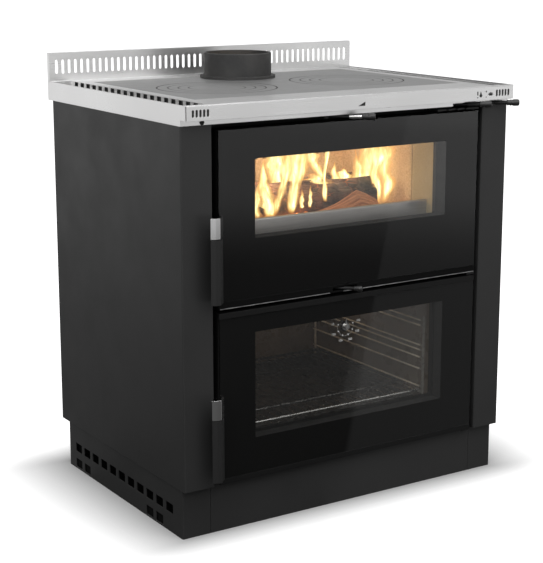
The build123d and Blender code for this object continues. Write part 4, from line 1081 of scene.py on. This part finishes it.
# %% [markdown]
# ## The oven dial
# The thermometer sits in the inner pane and its scale is printed on the glass round it: ticks near
# the hub, and plain numbers further out, along an arc that starts at the left and ends at the
# right.

# %% Dial ink and measures
glowing_white_ink = Finish("white_print_ink_painted_glow", 0.5, gloss=0.3)
glowing_white_ink.colour(glowing_white_ink.blend(glowing_white_ink.noise(500.0), 0.4, 0.7, grey(0.70), grey(0.82)))
# painted light: the print glows faintly, though it is no lamp
glowing_white_ink.glow((1, 1, 1, 1), 0.12)

body_low, body_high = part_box("thermometer_body")
dial_x, dial_z = (body_low.x + body_high.x) / 2, (body_low.z + body_high.z) / 2
dial_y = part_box("oven_door_inner_glass")[0].y - 0.0003
hub = Vector((dial_x, dial_y, dial_z))
first_angle, last_angle = 163.0, 376.0
number_step, number_count = 50, 6
tick_count, ticks_per_number = 21, 4
long_tick, short_tick = (0.0178, 0.0212, 0.00105), (0.0192, 0.0204, 0.0004)
tick_depth = 0.00028
print("dial hub at", [round(part, 4) for part in hub])

# %% [markdown]
# ## Ticks by angle
# Each tick is a thin bar between two radii, turned to its own angle. Every fourth one belongs to a
# number and is longer and broader.

# %% Ticks
points, faces = [], []
for tick in range(tick_count):
    angle = math.radians(first_angle + tick * (last_angle - first_angle) / (tick_count - 1))
    inner, outer, half = short_tick if tick % ticks_per_number else long_tick
    away = Vector((math.cos(angle), 0, math.sin(angle)))
    aside = Vector((-math.sin(angle), 0, math.cos(angle))) * half
    corners = [hub + away * inner - aside, hub + away * outer - aside,
               hub + away * outer + aside, hub + away * inner + aside]
    first = len(points)
    points += corners + [corner + Vector((0, tick_depth, 0)) for corner in corners]
    faces += [tuple(first + step for step in side) for side in
              ((0, 1, 2, 3), (7, 6, 5, 4), (1, 0, 4, 5), (2, 1, 5, 6), (3, 2, 6, 7), (0, 3, 7, 4))]
ticks = new_piece("dial_ticks", points, faces, glowing_white_ink.material)
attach(ticks, "oven_door")
print("ticks:", tick_count)

# %% [markdown]
# ## Numbers
# The numbers are text objects. They are turned into meshes before they are moved, so that the
# export gets plain geometry with its place in its points.

# %% Numbers
number_size, number_depth, number_half_x, number_half_z = 0.0070, 0.00012, 0.0335, 0.0310
for step in range(number_count):
    value = number_step * (step + 1)
    turn = math.radians(first_angle + (last_angle - first_angle) * step / (number_count - 1))
    text = bpy.data.curves.new(f"dial_number_{value}", "FONT")
    text.body = str(value)
    text.size = number_size
    text.extrude = number_depth
    text.align_x = "CENTER"
    text.align_y = "CENTER"
    written = placed(f"dial_number_{value}_text", text)
    mesh = plain_mesh(written)
    bpy.data.objects.remove(written)
    spot = Vector((dial_x + number_half_x * math.cos(turn), dial_y,
                   dial_z + number_half_z * math.sin(turn)))
    mesh.transform(Matrix.Translation(spot) @ Matrix.Rotation(math.radians(90), 4, "X"))
    mesh.materials.clear()
    mesh.materials.append(glowing_white_ink.material)
    number = placed(f"dial_number_{value}", mesh)
    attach(number, "oven_door")
print("numbers:", number_count, "from", number_step, "to", number_step * number_count)

# %% [markdown]
# ## Firewood
# The logs are split from a round trunk: two flat torn faces and a back of bark. A wedge-shaped
# outline is carried along the log's length in many rings, and noise pushes every point a little,
# more along the bark than on the split faces. The UV map runs round and along the log, which lets
# the material draw wood grain lengthwise whatever way the log lies.

# %% A split log's end
def wedge_outline(width, height, bark_points=14, flat_points=6):
    """A split log seen from its end: two flats that meet at a ridge, and bark below. (side, up)."""
    ridge = Vector((-0.10 * width, height))
    left, right = Vector((-0.5 * width, 0.50 * height)), Vector((0.5 * width, 0.16 * height))
    outline = []
    for start, end in ((right, ridge), (ridge, left)):
        for step in range(flat_points):
            outline.append(start.lerp(end, step / flat_points))
    for step in range(bark_points):
        angle = math.pi + math.pi * step / bark_points
        outline.append(Vector((0.5 * width * math.cos(angle),
                               0.14 * height + 0.30 * height * math.sin(angle))))
    return outline


print("a log's outline has", len(wedge_outline(1.0, 1.0)), "points")

# %% [markdown]
# ## From outline to log
# The outline travels from one end to the other. Its height follows a short list along the way, two
# noises roughen it, and the two end rings are torn a little. The split ends fan out from one point
# in their middle.

# %% Carry the outline along
def height_at(share, heights):
    """How tall the log is at a share of its length, between the heights given along it."""
    spot = share * (len(heights) - 1)
    step = min(int(spot), len(heights) - 2)
    return heights[step] + (heights[step + 1] - heights[step]) * (spot - step)


def log(name, start, end, outline, seed, finish, heights=(1.0, 1.0), rings=44, rough=0.0028):
    """Carries the outline from start to end, lower or higher on the way, and roughens it."""
    start, end = Vector(start), Vector(end)
    along = (end - start).normalized()
    side = Vector((0, 0, 1)).cross(along).normalized()
    up = along.cross(side)
    length = (end - start).length
    count = len(outline)
    points, around = [], []
    for ring in range(rings):
        share = ring / (rings - 1)
        tilt = 0.004 * math.sin(7 * share + seed)
        for index, spot in enumerate(outline):
            grain = Vector((spot.x * 55, spot.y * 55, share * length * 5 + seed * 3.1))
            coarse = Vector((spot.x * 18, spot.y * 18, share * length * 9 + seed))
            push = noise.noise(grain) * rough + noise.noise(coarse) * rough * 1.6
            out = Vector((spot.x, spot.y - 0.01)).normalized()
            tall = Vector((spot.x, spot.y * height_at(share, heights)))
            local = tall + out * push + Vector((tilt, 0))
            ragged = noise.noise(Vector((spot.x * 40, spot.y * 40, seed + 9))) * 0.004
            offset = share * length + (ragged if ring in (0, rings - 1) else 0.0)
            points.append(start + along * offset + side * local.x + up * local.y)
            around.append((index / count, share))
    faces = []
    for ring in range(rings - 1):
        low = ring * count
        for index in range(count):
            after = (index + 1) % count
            faces.append((low + index, low + count + index, low + count + after, low + after))
    for ring, flip in ((0, False), (rings - 1, True)):
        hub_point = len(points)
        rim_points = [ring * count + index for index in range(count)]
        points.append(sum((points[index] for index in rim_points), Vector()) / count)
        around.append((0.5, 0.0 if ring == 0 else 1.0))
        for here, after in zip(rim_points, rim_points[1:] + rim_points[:1]):
            face = (hub_point, here, after)
            faces.append(tuple(reversed(face)) if flip else face)
    piece = new_piece(name, points, faces, finish)
    map_points(piece, around)
    piece.data.update()
    return smooth(piece, 50.0)


print("halfway along a log that doubles its height:", height_at(0.5, (1.0, 2.0)))

# %% [markdown]
# ## Burning and fresh wood
# Burning wood is three materials in one: pale split wood, black scales of charcoal, and a thin
# glow in the cracks between them. The grain comes from a noise that is squeezed across the log,
# and how far the char has spread is one number per finish, so the front log can be nearly fresh.

# %% Wood finishes
def firewood(name, char, fresh, deep, glow):
    """Split wood with grain along the UV's second axis, charred by a share of nought to one."""
    wood = Finish(name, 0.75, gloss=0.25)
    uv = wood.add("UVMap", uv_map="UVMap").outputs[0]
    lengthwise = wood.add("Mapping", {"Vector": uv, "Scale": (44.0, 2.2, 1.0)}).outputs[0]
    grain = wood.add("TexNoise", {"Vector": lengthwise, "Scale": 1.0, "Detail": 6.0,
                                  "Roughness": 0.6}).outputs[0]
    timber = wood.blend(grain, 0.32, 0.68, deep, fresh)
    scales = wood.cells(75.0, feature="DISTANCE_TO_EDGE", stretch=(0.45, 1.0, 1.0))
    darkening = wood.blend(wood.noise(45.0, 4.0), 0.35, 0.7, grey(0.035, 0.15), grey(0.12, 0.22))
    spread = wood.span(wood.math("ADD", wood.noise(13.0, 4.0), char - 0.5), 0.40, 0.62, 0.0, 1.0)
    wood.colour(wood.mix(spread, timber, darkening))
    crack = wood.math("MULTIPLY", wood.span(scales, 0.0, 0.04, 1.0, 0.0), spread)
    hot = wood.math("MULTIPLY", crack, wood.span(wood.noise(20.0, 3.0), 0.52, 0.72, 0.0, 1.0))
    wood.glow((1.0, 0.24, 0.04, 1), wood.math("MULTIPLY", hot, glow))
    wood.bump(wood.math("ADD", wood.math("MULTIPLY", grain, 0.5),
                        wood.span(scales, 0.0, 0.12, 0.0, 1.0)), 0.7, 0.0022)
    return wood.material


charred_wood = firewood("charred_log", 0.56, (0.40, 0.21, 0.14, 1), (0.13, 0.065, 0.046, 1), 1.6)
fresh_wood = firewood("fresh_split_log", 0.10, (0.86, 0.40, 0.19, 1), (0.30, 0.105, 0.045, 1), 0.6)
print("wood:", charred_wood.name, fresh_wood.name)

# %% [markdown]
# ## Three logs on the hearth
# Two charred logs lie across the grate behind the guard, and a fresh one leans in front. Its height
# rises towards the right, because it is split from near a root.

# %% Lay the logs
hearth_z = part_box("hearth_plate")[1].z
# Each log: name, two ends as (x, y, height over the hearth), width and height, seed, wood, and its
# height along the way as shares.
log_plan = [
    ("log_back", (-0.190, 0.010, 0.014), (0.205, 0.022, 0.014), (0.090, 0.062),
     3, charred_wood, (0.9, 1.0, 0.95)),
    ("log_middle", (-0.172, -0.082, 0.016), (0.168, -0.094, 0.016), (0.088, 0.068),
     5, charred_wood, (0.95, 1.0, 0.98, 0.96)),
    ("log_front", (-0.036, -0.160, 0.008), (0.150, -0.148, 0.008), (0.060, 0.054),
     9, fresh_wood, (0.36, 0.44, 0.56, 0.68, 0.83, 1.00, 0.80, 0.54)),
]
for name, start, end, (width, height), seed, finish, heights in log_plan:
    ends = [(x, y, hearth_z + rise) for x, y, rise in (start, end)]
    piece = log(name, *ends, wedge_outline(width, height), seed, finish, heights)
    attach(piece, "cooker")
print("logs:", len(log_plan), "on the hearth at z =", round(hearth_z, 3))

# %% [markdown]
# ## Embers
# Under the logs lies a bed of broken charcoal. Every lump is the same small stone: a coarse ball
# whose points are pushed in or out by a seeded random draw, so it is the same in every run. Its
# finish glows in spots.

# %% One lump of charcoal
ember = Finish("glowing_ember", 0.85, gloss=0.2)
ember_noise = ember.noise(95.0, 4.0)
ember.colour(ember.blend(ember_noise, 0.4, 0.7, grey(0.018, 0.05), grey(0.16, 0.05)))
ember.glow((1.0, 0.30, 0.05, 1), ember.span(ember.noise(48.0, 3.0), 0.5, 0.68, 0.0, 9.0))
ember.bump(ember_noise, 0.6, 0.0015)

random.seed(21)
lump_rows, lump_columns, lump_radius = 5, 8, 0.0075
lump_points, lump_faces = [Vector((0, 0, -1))], []
for row in range(1, lump_rows):
    for column in range(lump_columns):
        polar = math.pi * row / lump_rows
        turn = math.tau * (column + 0.5 * (row % 2)) / lump_columns
        lump_points.append(Vector((math.sin(polar) * math.cos(turn),
                                   math.sin(polar) * math.sin(turn), -math.cos(polar))))
lump_points.append(Vector((0, 0, 1)))
lump_points = [point * (lump_radius * (0.75 + 0.45 * random.random())) for point in lump_points]
last = len(lump_points) - 1
for column in range(lump_columns):
    after = (column + 1) % lump_columns
    lump_faces.append((0, 1 + after, 1 + column))
    for row in range(lump_rows - 2):
        left, right = 1 + row * lump_columns + column, 1 + row * lump_columns + after
        lump_faces.append((left, right, right + lump_columns, left + lump_columns))
    lump_faces.append((last - lump_columns + column, last - lump_columns + after, last))
lump = new_piece("ember_model", lump_points, lump_faces, ember.material)
print("a lump has", len(lump_faces), "faces")

# %% [markdown]
# ## The bed of embers
# The draw is denser in the middle, under the logs, and the bed heaps up there by a bell curve.

# %% Scatter the embers
ember_draws, bed_middle, bed_spread = 420, (0.0, -0.085), (0.105, 0.052)
bed_half_x, bed_front, bed_back = 0.225, -0.196, 0.06
heap_height, heap_x, heap_y, ember_rise = 0.018, 0.13, 0.07, 0.0045
ember_spots = []
for _ in range(ember_draws):
    x = random.gauss(bed_middle[0], bed_spread[0])
    y = random.gauss(bed_middle[1], bed_spread[1])
    if abs(x) < bed_half_x and bed_front < y < bed_back:
        off_heap = (x / heap_x) ** 2 + ((y - bed_middle[1]) / heap_y) ** 2
        heap = heap_height * math.exp(-off_heap)
        ember_spots.append((x, y, hearth_z + ember_rise + heap * random.random()))
embers = baked("ember_bed", points_object("ember_points", ember_spots),
               instancing_tree("embers_on_points", False),
               {"Shape": lump, "Size": 1.0, "Jitter": 0.45, "Finish": ember.material})
bpy.data.objects.remove(lump)
smooth(embers, 60.0)
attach(embers, "cooker")
print("embers:", len(ember_spots), "lumps,", len(embers.data.polygons), "faces")

# %% [markdown]
# ## Flames
# A flame is a glowing gas with no surface, so no solid shape is right for it. Each tongue here is
# a thin closed leaf that follows a drawn spine: a few points with a width at each, joined by a
# smooth curve. Its UV map runs across and up. The material makes the leaf brightest along its
# middle and lets it thin out to nothing at its rim and its tip. Broad leaves behind and slim ones
# in front read as one fire, and the fire looks right from the sides as well, because its leaves
# stand in depth.

# %% Flame finish
flame = Finish("flame", 1.0, gloss=0.0)
flame_uv = flame.add("UVMap", uv_map="UVMap").outputs[0]
flame_axes = flame.add("SeparateXYZ", {"Vector": flame_uv})
across, rise = flame_axes.outputs[0], flame_axes.outputs[1]
twice = flame.math("MULTIPLY", across, 2.0)
off_middle = flame.math("ABSOLUTE", flame.math("SUBTRACT", twice, 1.0))
swirl = flame.noise(1.0, 2.5, (46.0, 46.0, 16.0), 0.5)
torn_rim = flame.math("ADD", off_middle, flame.span(swirl, 0.3, 0.7, 0.34, -0.20))
torn_tip = flame.math("ADD", rise, flame.span(swirl, 0.3, 0.7, 0.14, -0.10))
body = flame.span(torn_rim, 0.05, 0.98, 1.0, 0.0)
tip = flame.span(torn_tip, 0.60, 1.0, 1.0, 0.0)
foot_fade = flame.span(rise, 0.0, 0.12, 0.0, 1.0)
streaks = flame.span(flame.noise(1.0, 3.0, (150.0, 150.0, 26.0), 0.55), 0.36, 0.62, 0.62, 1.0)
shape = flame.math("MULTIPLY", flame.math("MULTIPLY", body, tip), foot_fade)
density = flame.math("MULTIPLY", shape, streaks)
tint = flame.add("ValToRGB", {"Fac": density})
tint.color_ramp.elements[0].color = (1.0, 0.36, 0.07, 1)
tint.color_ramp.elements[1].color = (1.0, 0.96, 0.66, 1)
for stop, stop_colour in ((0.25, (1.0, 0.52, 0.13, 1)), (0.55, (1.0, 0.76, 0.28, 1)),
                          (0.8, (1.0, 0.88, 0.44, 1))):
    tint.color_ramp.elements.new(stop).color = stop_colour
light = flame.add("Emission", {"Color": tint.outputs[0],
                               "Strength": flame.span(density, 0.0, 0.9, 1.0, 2.0)}).outputs[0]
clear = flame.add("BsdfTransparent").outputs[0]
thickness = flame.span(density, 0.0, 0.68, 0.0, 0.90)
flame.show(flame.add("MixShader", {0: thickness, 1: clear, 2: light}).outputs[0])
flame.tree.nodes.remove(flame.shader)
flame.material.cycles.emission_sampling = "NONE"
print("flame: a ramp of", len(tint.color_ramp.elements), "colours")

# %% [markdown]
# ## Drawing the tongues
# Every tongue is drawn as it is seen from the front left, on one upright plane, and then slid
# along the line of sight to its own depth, so that it keeps its place in the picture. A
# Catmull-Rom spline goes through the points of the spine and needs no handles.

# %% Shape a tongue
drawing_plane, sight_x, sight_z = -0.110, 0.64, -0.14


def along_spine(spine, share):
    """A smooth curve through the spine's points of (x, z, width)."""
    spot = share * (len(spine) - 1)
    index = min(int(spot), len(spine) - 2)
    t = spot - index
    before, here, after, beyond = (spine[max(0, min(len(spine) - 1, index + step))]
                                   for step in (-1, 0, 1, 2))
    return [0.5 * (2 * b + (c - a) * t + (2 * a - 5 * b + 4 * c - d) * t ** 2
                   + (3 * b - a - 3 * c + d) * t ** 3)
            for a, b, c, d in zip(before, here, after, beyond)]


def tongue(points, faces, around, depth, spine, turn, seed, rings=30, count=14):
    """Adds one leaf of flame to the lists, slid along the line of sight from the drawing plane."""
    slide = depth - drawing_plane
    spine = [(x + sight_x * slide, z + sight_z * slide, width) for x, z, width in spine]
    foot_x = spine[0][0]
    first = len(points)
    for ring in range(rings):
        share = ring / (rings - 1)
        x, z, width = along_spine(spine, share)
        half = max(0.0004, width / 2) * (1 + 0.40 * noise.noise(Vector((seed, share * 6, 0))))
        x += min(0.006, 0.18 * width) * noise.noise(Vector((seed + 2, share * 5, 9)))
        sway = 0.005 * noise.noise(Vector((seed + 7, share * 4, 3)))
        for step in range(count):
            angle = math.tau * step / count
            local = Vector((x - foot_x + half * math.cos(angle),
                            half * 0.30 * math.sin(angle) + sway, 0))
            turned_point = Matrix.Rotation(turn, 3, "Z") @ local
            points.append(Vector((foot_x, depth, z)) + turned_point)
            around.append((0.5 + 0.5 * math.cos(angle), share))
    faces += tube_faces(rings, count, first)


print("a step back by a metre moves a tongue by", sight_x, "and", sight_z)

# %% [markdown]
# ## The tongues' plan
# The fire is drawn tongue by tongue, because its rhythm is what the eye knows it by: tall ones at
# the left, the middle and the right, low ones between. The slim ones in front stand before the
# logs, the broad ones burn behind them.

# %% Plan of the tongues
# Each tongue: its depth, and its spine from foot to tip as (x, z, width) on the drawing plane.
tongue_plan = [
    (-0.120, [(-0.103, 0.596, 0.066), (-0.106, 0.645, 0.044), (-0.110, 0.684, 0.020),
              (-0.107, 0.728, 0.002)]),
    (-0.136, [(-0.092, 0.596, 0.034), (-0.100, 0.625, 0.030), (-0.110, 0.655, 0.016),
              (-0.112, 0.690, 0.002)]),
    (-0.134, [(-0.130, 0.596, 0.040), (-0.128, 0.625, 0.030), (-0.122, 0.655, 0.014),
              (-0.116, 0.685, 0.002)]),
    (-0.070, [(-0.078, 0.645, 0.040), (-0.080, 0.690, 0.066), (-0.076, 0.730, 0.062),
              (-0.070, 0.790, 0.006)]),
    (-0.137, [(-0.082, 0.598, 0.016), (-0.070, 0.634, 0.024), (-0.060, 0.662, 0.030),
              (-0.050, 0.695, 0.036), (-0.045, 0.728, 0.032), (-0.040, 0.785, 0.003)]),
    (-0.137, [(-0.042, 0.598, 0.020), (-0.038, 0.628, 0.030), (-0.027, 0.663, 0.042),
              (-0.017, 0.695, 0.048), (-0.014, 0.728, 0.044), (-0.010, 0.785, 0.004)]),
    (-0.075, [(-0.030, 0.640, 0.050), (-0.034, 0.690, 0.070), (-0.026, 0.735, 0.056),
              (-0.022, 0.795, 0.004)]),
    (-0.080, [(0.040, 0.652, 0.024), (0.028, 0.682, 0.026), (0.017, 0.705, 0.034),
              (0.009, 0.730, 0.032), (0.004, 0.785, 0.003)]),
    (-0.134, [(0.046, 0.614, 0.009), (0.046, 0.640, 0.017), (0.045, 0.664, 0.009),
              (0.047, 0.695, 0.012), (0.049, 0.728, 0.016), (0.052, 0.785, 0.002)]),
    (-0.138, [(-0.014, 0.606, 0.010), (-0.014, 0.628, 0.014), (-0.013, 0.650, 0.002)]),
    (-0.138, [(0.006, 0.606, 0.010), (0.008, 0.632, 0.013), (0.006, 0.655, 0.002)]),
    (-0.095, [(0.030, 0.650, 0.080), (0.026, 0.664, 0.060), (0.020, 0.680, 0.004)]),
    (-0.080, [(0.074, 0.648, 0.056), (0.073, 0.670, 0.022), (0.072, 0.700, 0.002)]),
    (-0.078, [(0.100, 0.646, 0.064), (0.098, 0.664, 0.046), (0.095, 0.680, 0.003)]),
    (-0.076, [(0.140, 0.640, 0.076), (0.135, 0.672, 0.044), (0.131, 0.698, 0.016),
              (0.129, 0.722, 0.002)]),
    (-0.126, [(0.182, 0.596, 0.016), (0.183, 0.635, 0.026), (0.178, 0.664, 0.028),
              (0.183, 0.692, 0.046), (0.184, 0.720, 0.050), (0.182, 0.785, 0.004)]),
    (-0.105, [(0.203, 0.596, 0.026), (0.211, 0.640, 0.038), (0.203, 0.668, 0.038),
              (0.198, 0.696, 0.060), (0.204, 0.725, 0.056), (0.208, 0.785, 0.004)]),
    (-0.090, [(0.156, 0.640, 0.060), (0.160, 0.676, 0.050), (0.166, 0.712, 0.034),
              (0.170, 0.775, 0.003)]),
    (-0.020, [(0.165, 0.640, 0.050), (0.170, 0.690, 0.060), (0.174, 0.730, 0.046),
              (0.170, 0.790, 0.004)]),
    (-0.100, [(-0.150, 0.590, 0.050), (-0.160, 0.645, 0.060), (-0.152, 0.700, 0.042),
              (-0.146, 0.770, 0.003)]),
    (-0.040, [(-0.230, 0.600, 0.036), (-0.232, 0.650, 0.050), (-0.226, 0.700, 0.030),
              (-0.220, 0.750, 0.003)]),
]
print("drawn:", len(tongue_plan), "tongues on the plane y =", drawing_plane)

# %% [markdown]
# ## The fire in one piece
# All tongues share a mesh and a finish. A small random turn of each keeps them from standing in
# one plane like a paper cut-out.

# %% Light the fire
points, faces, around = [], [], []
random.seed(5)
for index, (depth, spine) in enumerate(tongue_plan):
    tongue(points, faces, around, depth, spine, random.uniform(-0.35, 0.20), 3.7 * index)
flames = new_piece("flames", points, faces, flame.material)
map_points(flames, around)
smooth(flames, 80.0)
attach(flames, "cooker")
print("flames: up to z =", round(max(point[2] for point in points), 3))

# %% [markdown]
# ## Light inside the cooker
# The flame material itself is left out of light sampling, because hundreds of thin glowing leaves
# make a noisy picture. Two warm lamps stand in the fire instead. Two weak ones hang in the oven:
# one under its roof at the right, and a redder one low at the left. Lamps aren't pieces, so they
# ride on nothing, and these four are hidden from the glass.

# %% Inner lamps
def lamp(name, kind, spot, power, colour, size, aim=None):
    """A soft lamp; area lamps point at aim, and point lamps don't show in glass or metal."""
    data = bpy.data.lights.new(name, kind)
    data.energy = power
    data.color = colour
    if kind == "AREA":
        data.size = size
    else:
        data.shadow_soft_size = size
    holder = placed(name, data)
    holder.location = spot
    if aim is not None:
        holder.rotation_euler = (Vector(aim) - Vector(spot)).to_track_quat("-Z", "Y").to_euler()
    else:
        holder.visible_camera = holder.visible_transmission = holder.visible_glossy = False
    return holder


fire_warm = (1.0, 0.74, 0.48)
inner_lamps = [
    lamp("fire_lamp_left", "POINT", (-0.09, -0.08, 0.70), 1.7, fire_warm, 0.05),
    lamp("fire_lamp_right", "POINT", (0.10, -0.07, 0.70), 1.3, fire_warm, 0.05),
    lamp("oven_lamp", "POINT", (0.14, 0.03, 0.395), 0.10, (1.0, 0.76, 0.50), 0.03),
    lamp("oven_glow", "POINT", (-0.10, 0.10, 0.26), 0.15, (1.0, 0.64, 0.34), 0.04),
]
print("inside:", [holder.name for holder in inner_lamps])

# %% [markdown]
# ## The studio
# The picture is a cut-out on white: a pale floor with a soft shadow and nothing else. The world
# is white where it is seen, straight or through glass, and a plain grey for the light it gives.
# What metal and glass mirror of it is darker low down and brighter overhead, so that upright
# panes stay deep while the top shines. A Light Path node tells these three apart.

# %% World
world = bpy.data.worlds.new("studio")
scene.world = world
world.use_nodes = True
studio = Recipe(world.node_tree)
sky = studio.tree.nodes["Background"]
seen_white, given_light, mirrored_low, mirrored_high, high_from = 1.0, 0.34, 0.34, 0.72, 0.8

paths = studio.add("LightPath").outputs
bounces = studio.math("ADD", paths["Diffuse Depth"], paths["Glossy Depth"])
straight = studio.math("LESS_THAN", bounces, 0.5)
through_glass = studio.math("MULTIPLY", paths["Is Transmission Ray"], straight)
seen = studio.math("MAXIMUM", paths["Is Camera Ray"], through_glass)
direction = studio.add("TexCoord").outputs["Generated"]
height = studio.add("SeparateXYZ", {0: direction}).outputs[2]
mirrored = studio.span(height, 0.0, high_from, mirrored_low, mirrored_high)
lit = studio.add("Mix", {0: paths["Is Glossy Ray"], 2: given_light, 3: mirrored},
                 data_type="FLOAT").outputs[0]
strength = studio.add("Mix", {0: seen, 2: lit, 3: seen_white}, data_type="FLOAT").outputs[0]
sky.inputs["Color"].default_value = (1, 1, 1, 1)
studio.feed(sky.inputs["Strength"], strength)
print("world: light", given_light, "mirrored", mirrored_low, "to", mirrored_high)

# %% [markdown]
# ## The floor as the camera sees it
# Paint alone would leave the floor grey at the rims, so it adds a white of its own that fades
# near the plinth, where the soft shadow has to stay. Near the plinth the floor's colour darkens
# too, and that darkening and the fade are a painted shadow round the footprint, over the real one.
# The fade is measured from the cooker's footprint: the absolute place minus half the footprint,
# with nothing below nought, has as its length the distance to that rectangle.

# %% Floor, seen
floor_finish = Finish("pale_studio_floor", 0.8, gloss=0.1)
rays = floor_finish.add("LightPath").outputs
foot_half, foot_stretch = (0.39, 0.27, 0.0), (1.0, 1.8, 1.0)
shade_reach, white_reach, white_least = 0.22, 0.28, 0.06

floor_grain = floor_finish.blend(floor_finish.noise(1.5), 0.3, 0.7, grey(0.87), grey(0.89))
from_foot = floor_finish.vector("ABSOLUTE", floor_finish.place)
from_foot = floor_finish.vector("SUBTRACT", from_foot, foot_half)
from_foot = floor_finish.vector("MAXIMUM", from_foot, (0.0, 0.0, 0.0))
from_foot = floor_finish.vector("MULTIPLY", from_foot, foot_stretch)
foot_distance = floor_finish.vector("LENGTH", from_foot, output="Value")
# painted shadow: the floor's colour darkens towards the footprint
near_foot = floor_finish.span(foot_distance, 0.0, shade_reach, 0.7, 0.0)
shaded = floor_finish.mix(near_foot, floor_grain, grey(0.35))
floor_finish.colour(floor_finish.mix(rays["Is Camera Ray"], grey(0.18), shaded))
own_white = floor_finish.span(foot_distance, 0.0, white_reach, white_least, 1.0)
glow = floor_finish.add("Emission", {"Strength": own_white}).outputs[0]
painted = floor_finish.shader.outputs[0]
lifted = floor_finish.add("AddShader", {0: painted, 1: glow}).outputs[0]
seen_floor = floor_finish.add("MixShader", {0: rays["Is Camera Ray"], 1: painted,
                                            2: lifted}).outputs[0]
print("floor: white from", white_reach, "m off the footprint")

# %% [markdown]
# ## The floor as metal and glass mirror it
# The doors and the splashback mirror mostly floor. There it grows brighter with distance, which
# gives the upright steel its shades, and one straight edge across it makes the slanting line that
# crosses the door glass. Both are strengths of an Emission shader that only mirrored rays meet.

# %% Floor, mirrored
distance = floor_finish.vector("LENGTH", floor_finish.place, output="Value")
far_half = floor_finish.add("MapRange", {"Value": distance, "From Min": 2.5, "From Max": 4.4,
                                         "To Max": 0.42},
                            interpolation_type="SMOOTHSTEP").outputs[0]
slope = floor_finish.math("ADD", floor_finish.span(distance, 0.5, 7.0, 0.07, 0.30),
                          floor_finish.span(distance, 6.5, 10.0, 0.0, 0.70))
card_across, card_edge, card_blur, card_white = (1.0, 0.8152, 0.0), -0.268, 0.008, 0.13
card_line = floor_finish.vector("DOT_PRODUCT", floor_finish.place, card_across, output="Value")
card = floor_finish.span(card_line, card_edge - card_blur, card_edge + card_blur, 0.0, card_white)
mirrored_floor = floor_finish.math("ADD", floor_finish.math("ADD", far_half, slope), card)
mirrored_floor = floor_finish.math("MINIMUM", mirrored_floor, 1.0)
mirror_white = floor_finish.add("Emission", {"Strength": mirrored_floor}).outputs[0]
floor_finish.show(floor_finish.add("MixShader", {0: rays["Is Glossy Ray"], 1: seen_floor,
                                                 2: mirror_white}).outputs[0])

reach = 60.0
floor_corners = [(-reach, -reach, 0), (reach, -reach, 0), (reach, reach, 0), (-reach, reach, 0)]
floor = new_piece("studio_floor", floor_corners, [(0, 1, 2, 3)], floor_finish.material)
print("floor:", 2 * reach, "m wide")

# %% [markdown]
# ## Studio lamps
# A large soft box in front and above lights the top and the doors, and a weaker one at the left
# keeps the side panel readable. Both are big for their distance, so their shadows have no edge.

# %% Place the lamps
lamp("top_soft_box", "AREA", (-0.2, -1.7, 2.9), 72.0, (1, 1, 1), 3.6, aim=(0, -0.1, 0.6))
lamp("left_fill", "AREA", (-2.6, -1.6, 1.8), 20.0, (1, 1, 1), 1.6, aim=(-0.2, 0.0, 0.5))

# %% [markdown]
# ## The camera
# The picture was taken from the front left, a little above the hob, with a moderately long lens.
# Everything of the camera follows from four measures: where it stands, its turn, its tilt and its
# lens. The sensor shift stays near nought, so that the object keeps to the frame from other
# sides.

# %% Camera
camera_data = bpy.data.cameras.new("picture_camera")
camera = placed("picture_camera", camera_data)
frame_pixels, lens_pixels = 563, 1453.755
camera_data.sensor_width = 36.0
camera_data.lens = lens_pixels * camera_data.sensor_width / frame_pixels
camera_data.shift_y = -0.045
camera_data.clip_end = 200.0
camera_turn, camera_tilt = 0.57235, 0.20880
camera.location = (-1.70671, -2.62180, 1.14278)
look = Vector((math.sin(camera_turn) * math.cos(camera_tilt),
               math.cos(camera_turn) * math.cos(camera_tilt), -math.sin(camera_tilt)))
camera.rotation_euler = look.to_track_quat("-Z", "Y").to_euler()
scene.camera = camera
scene.view_settings.view_transform = "Standard"
print("camera: lens", round(camera_data.lens, 1), "mm, looking", [round(part, 3) for part in look])

# %% [markdown]
# ## Sizes and the end
# The dressed model has to stay the size of its solids.
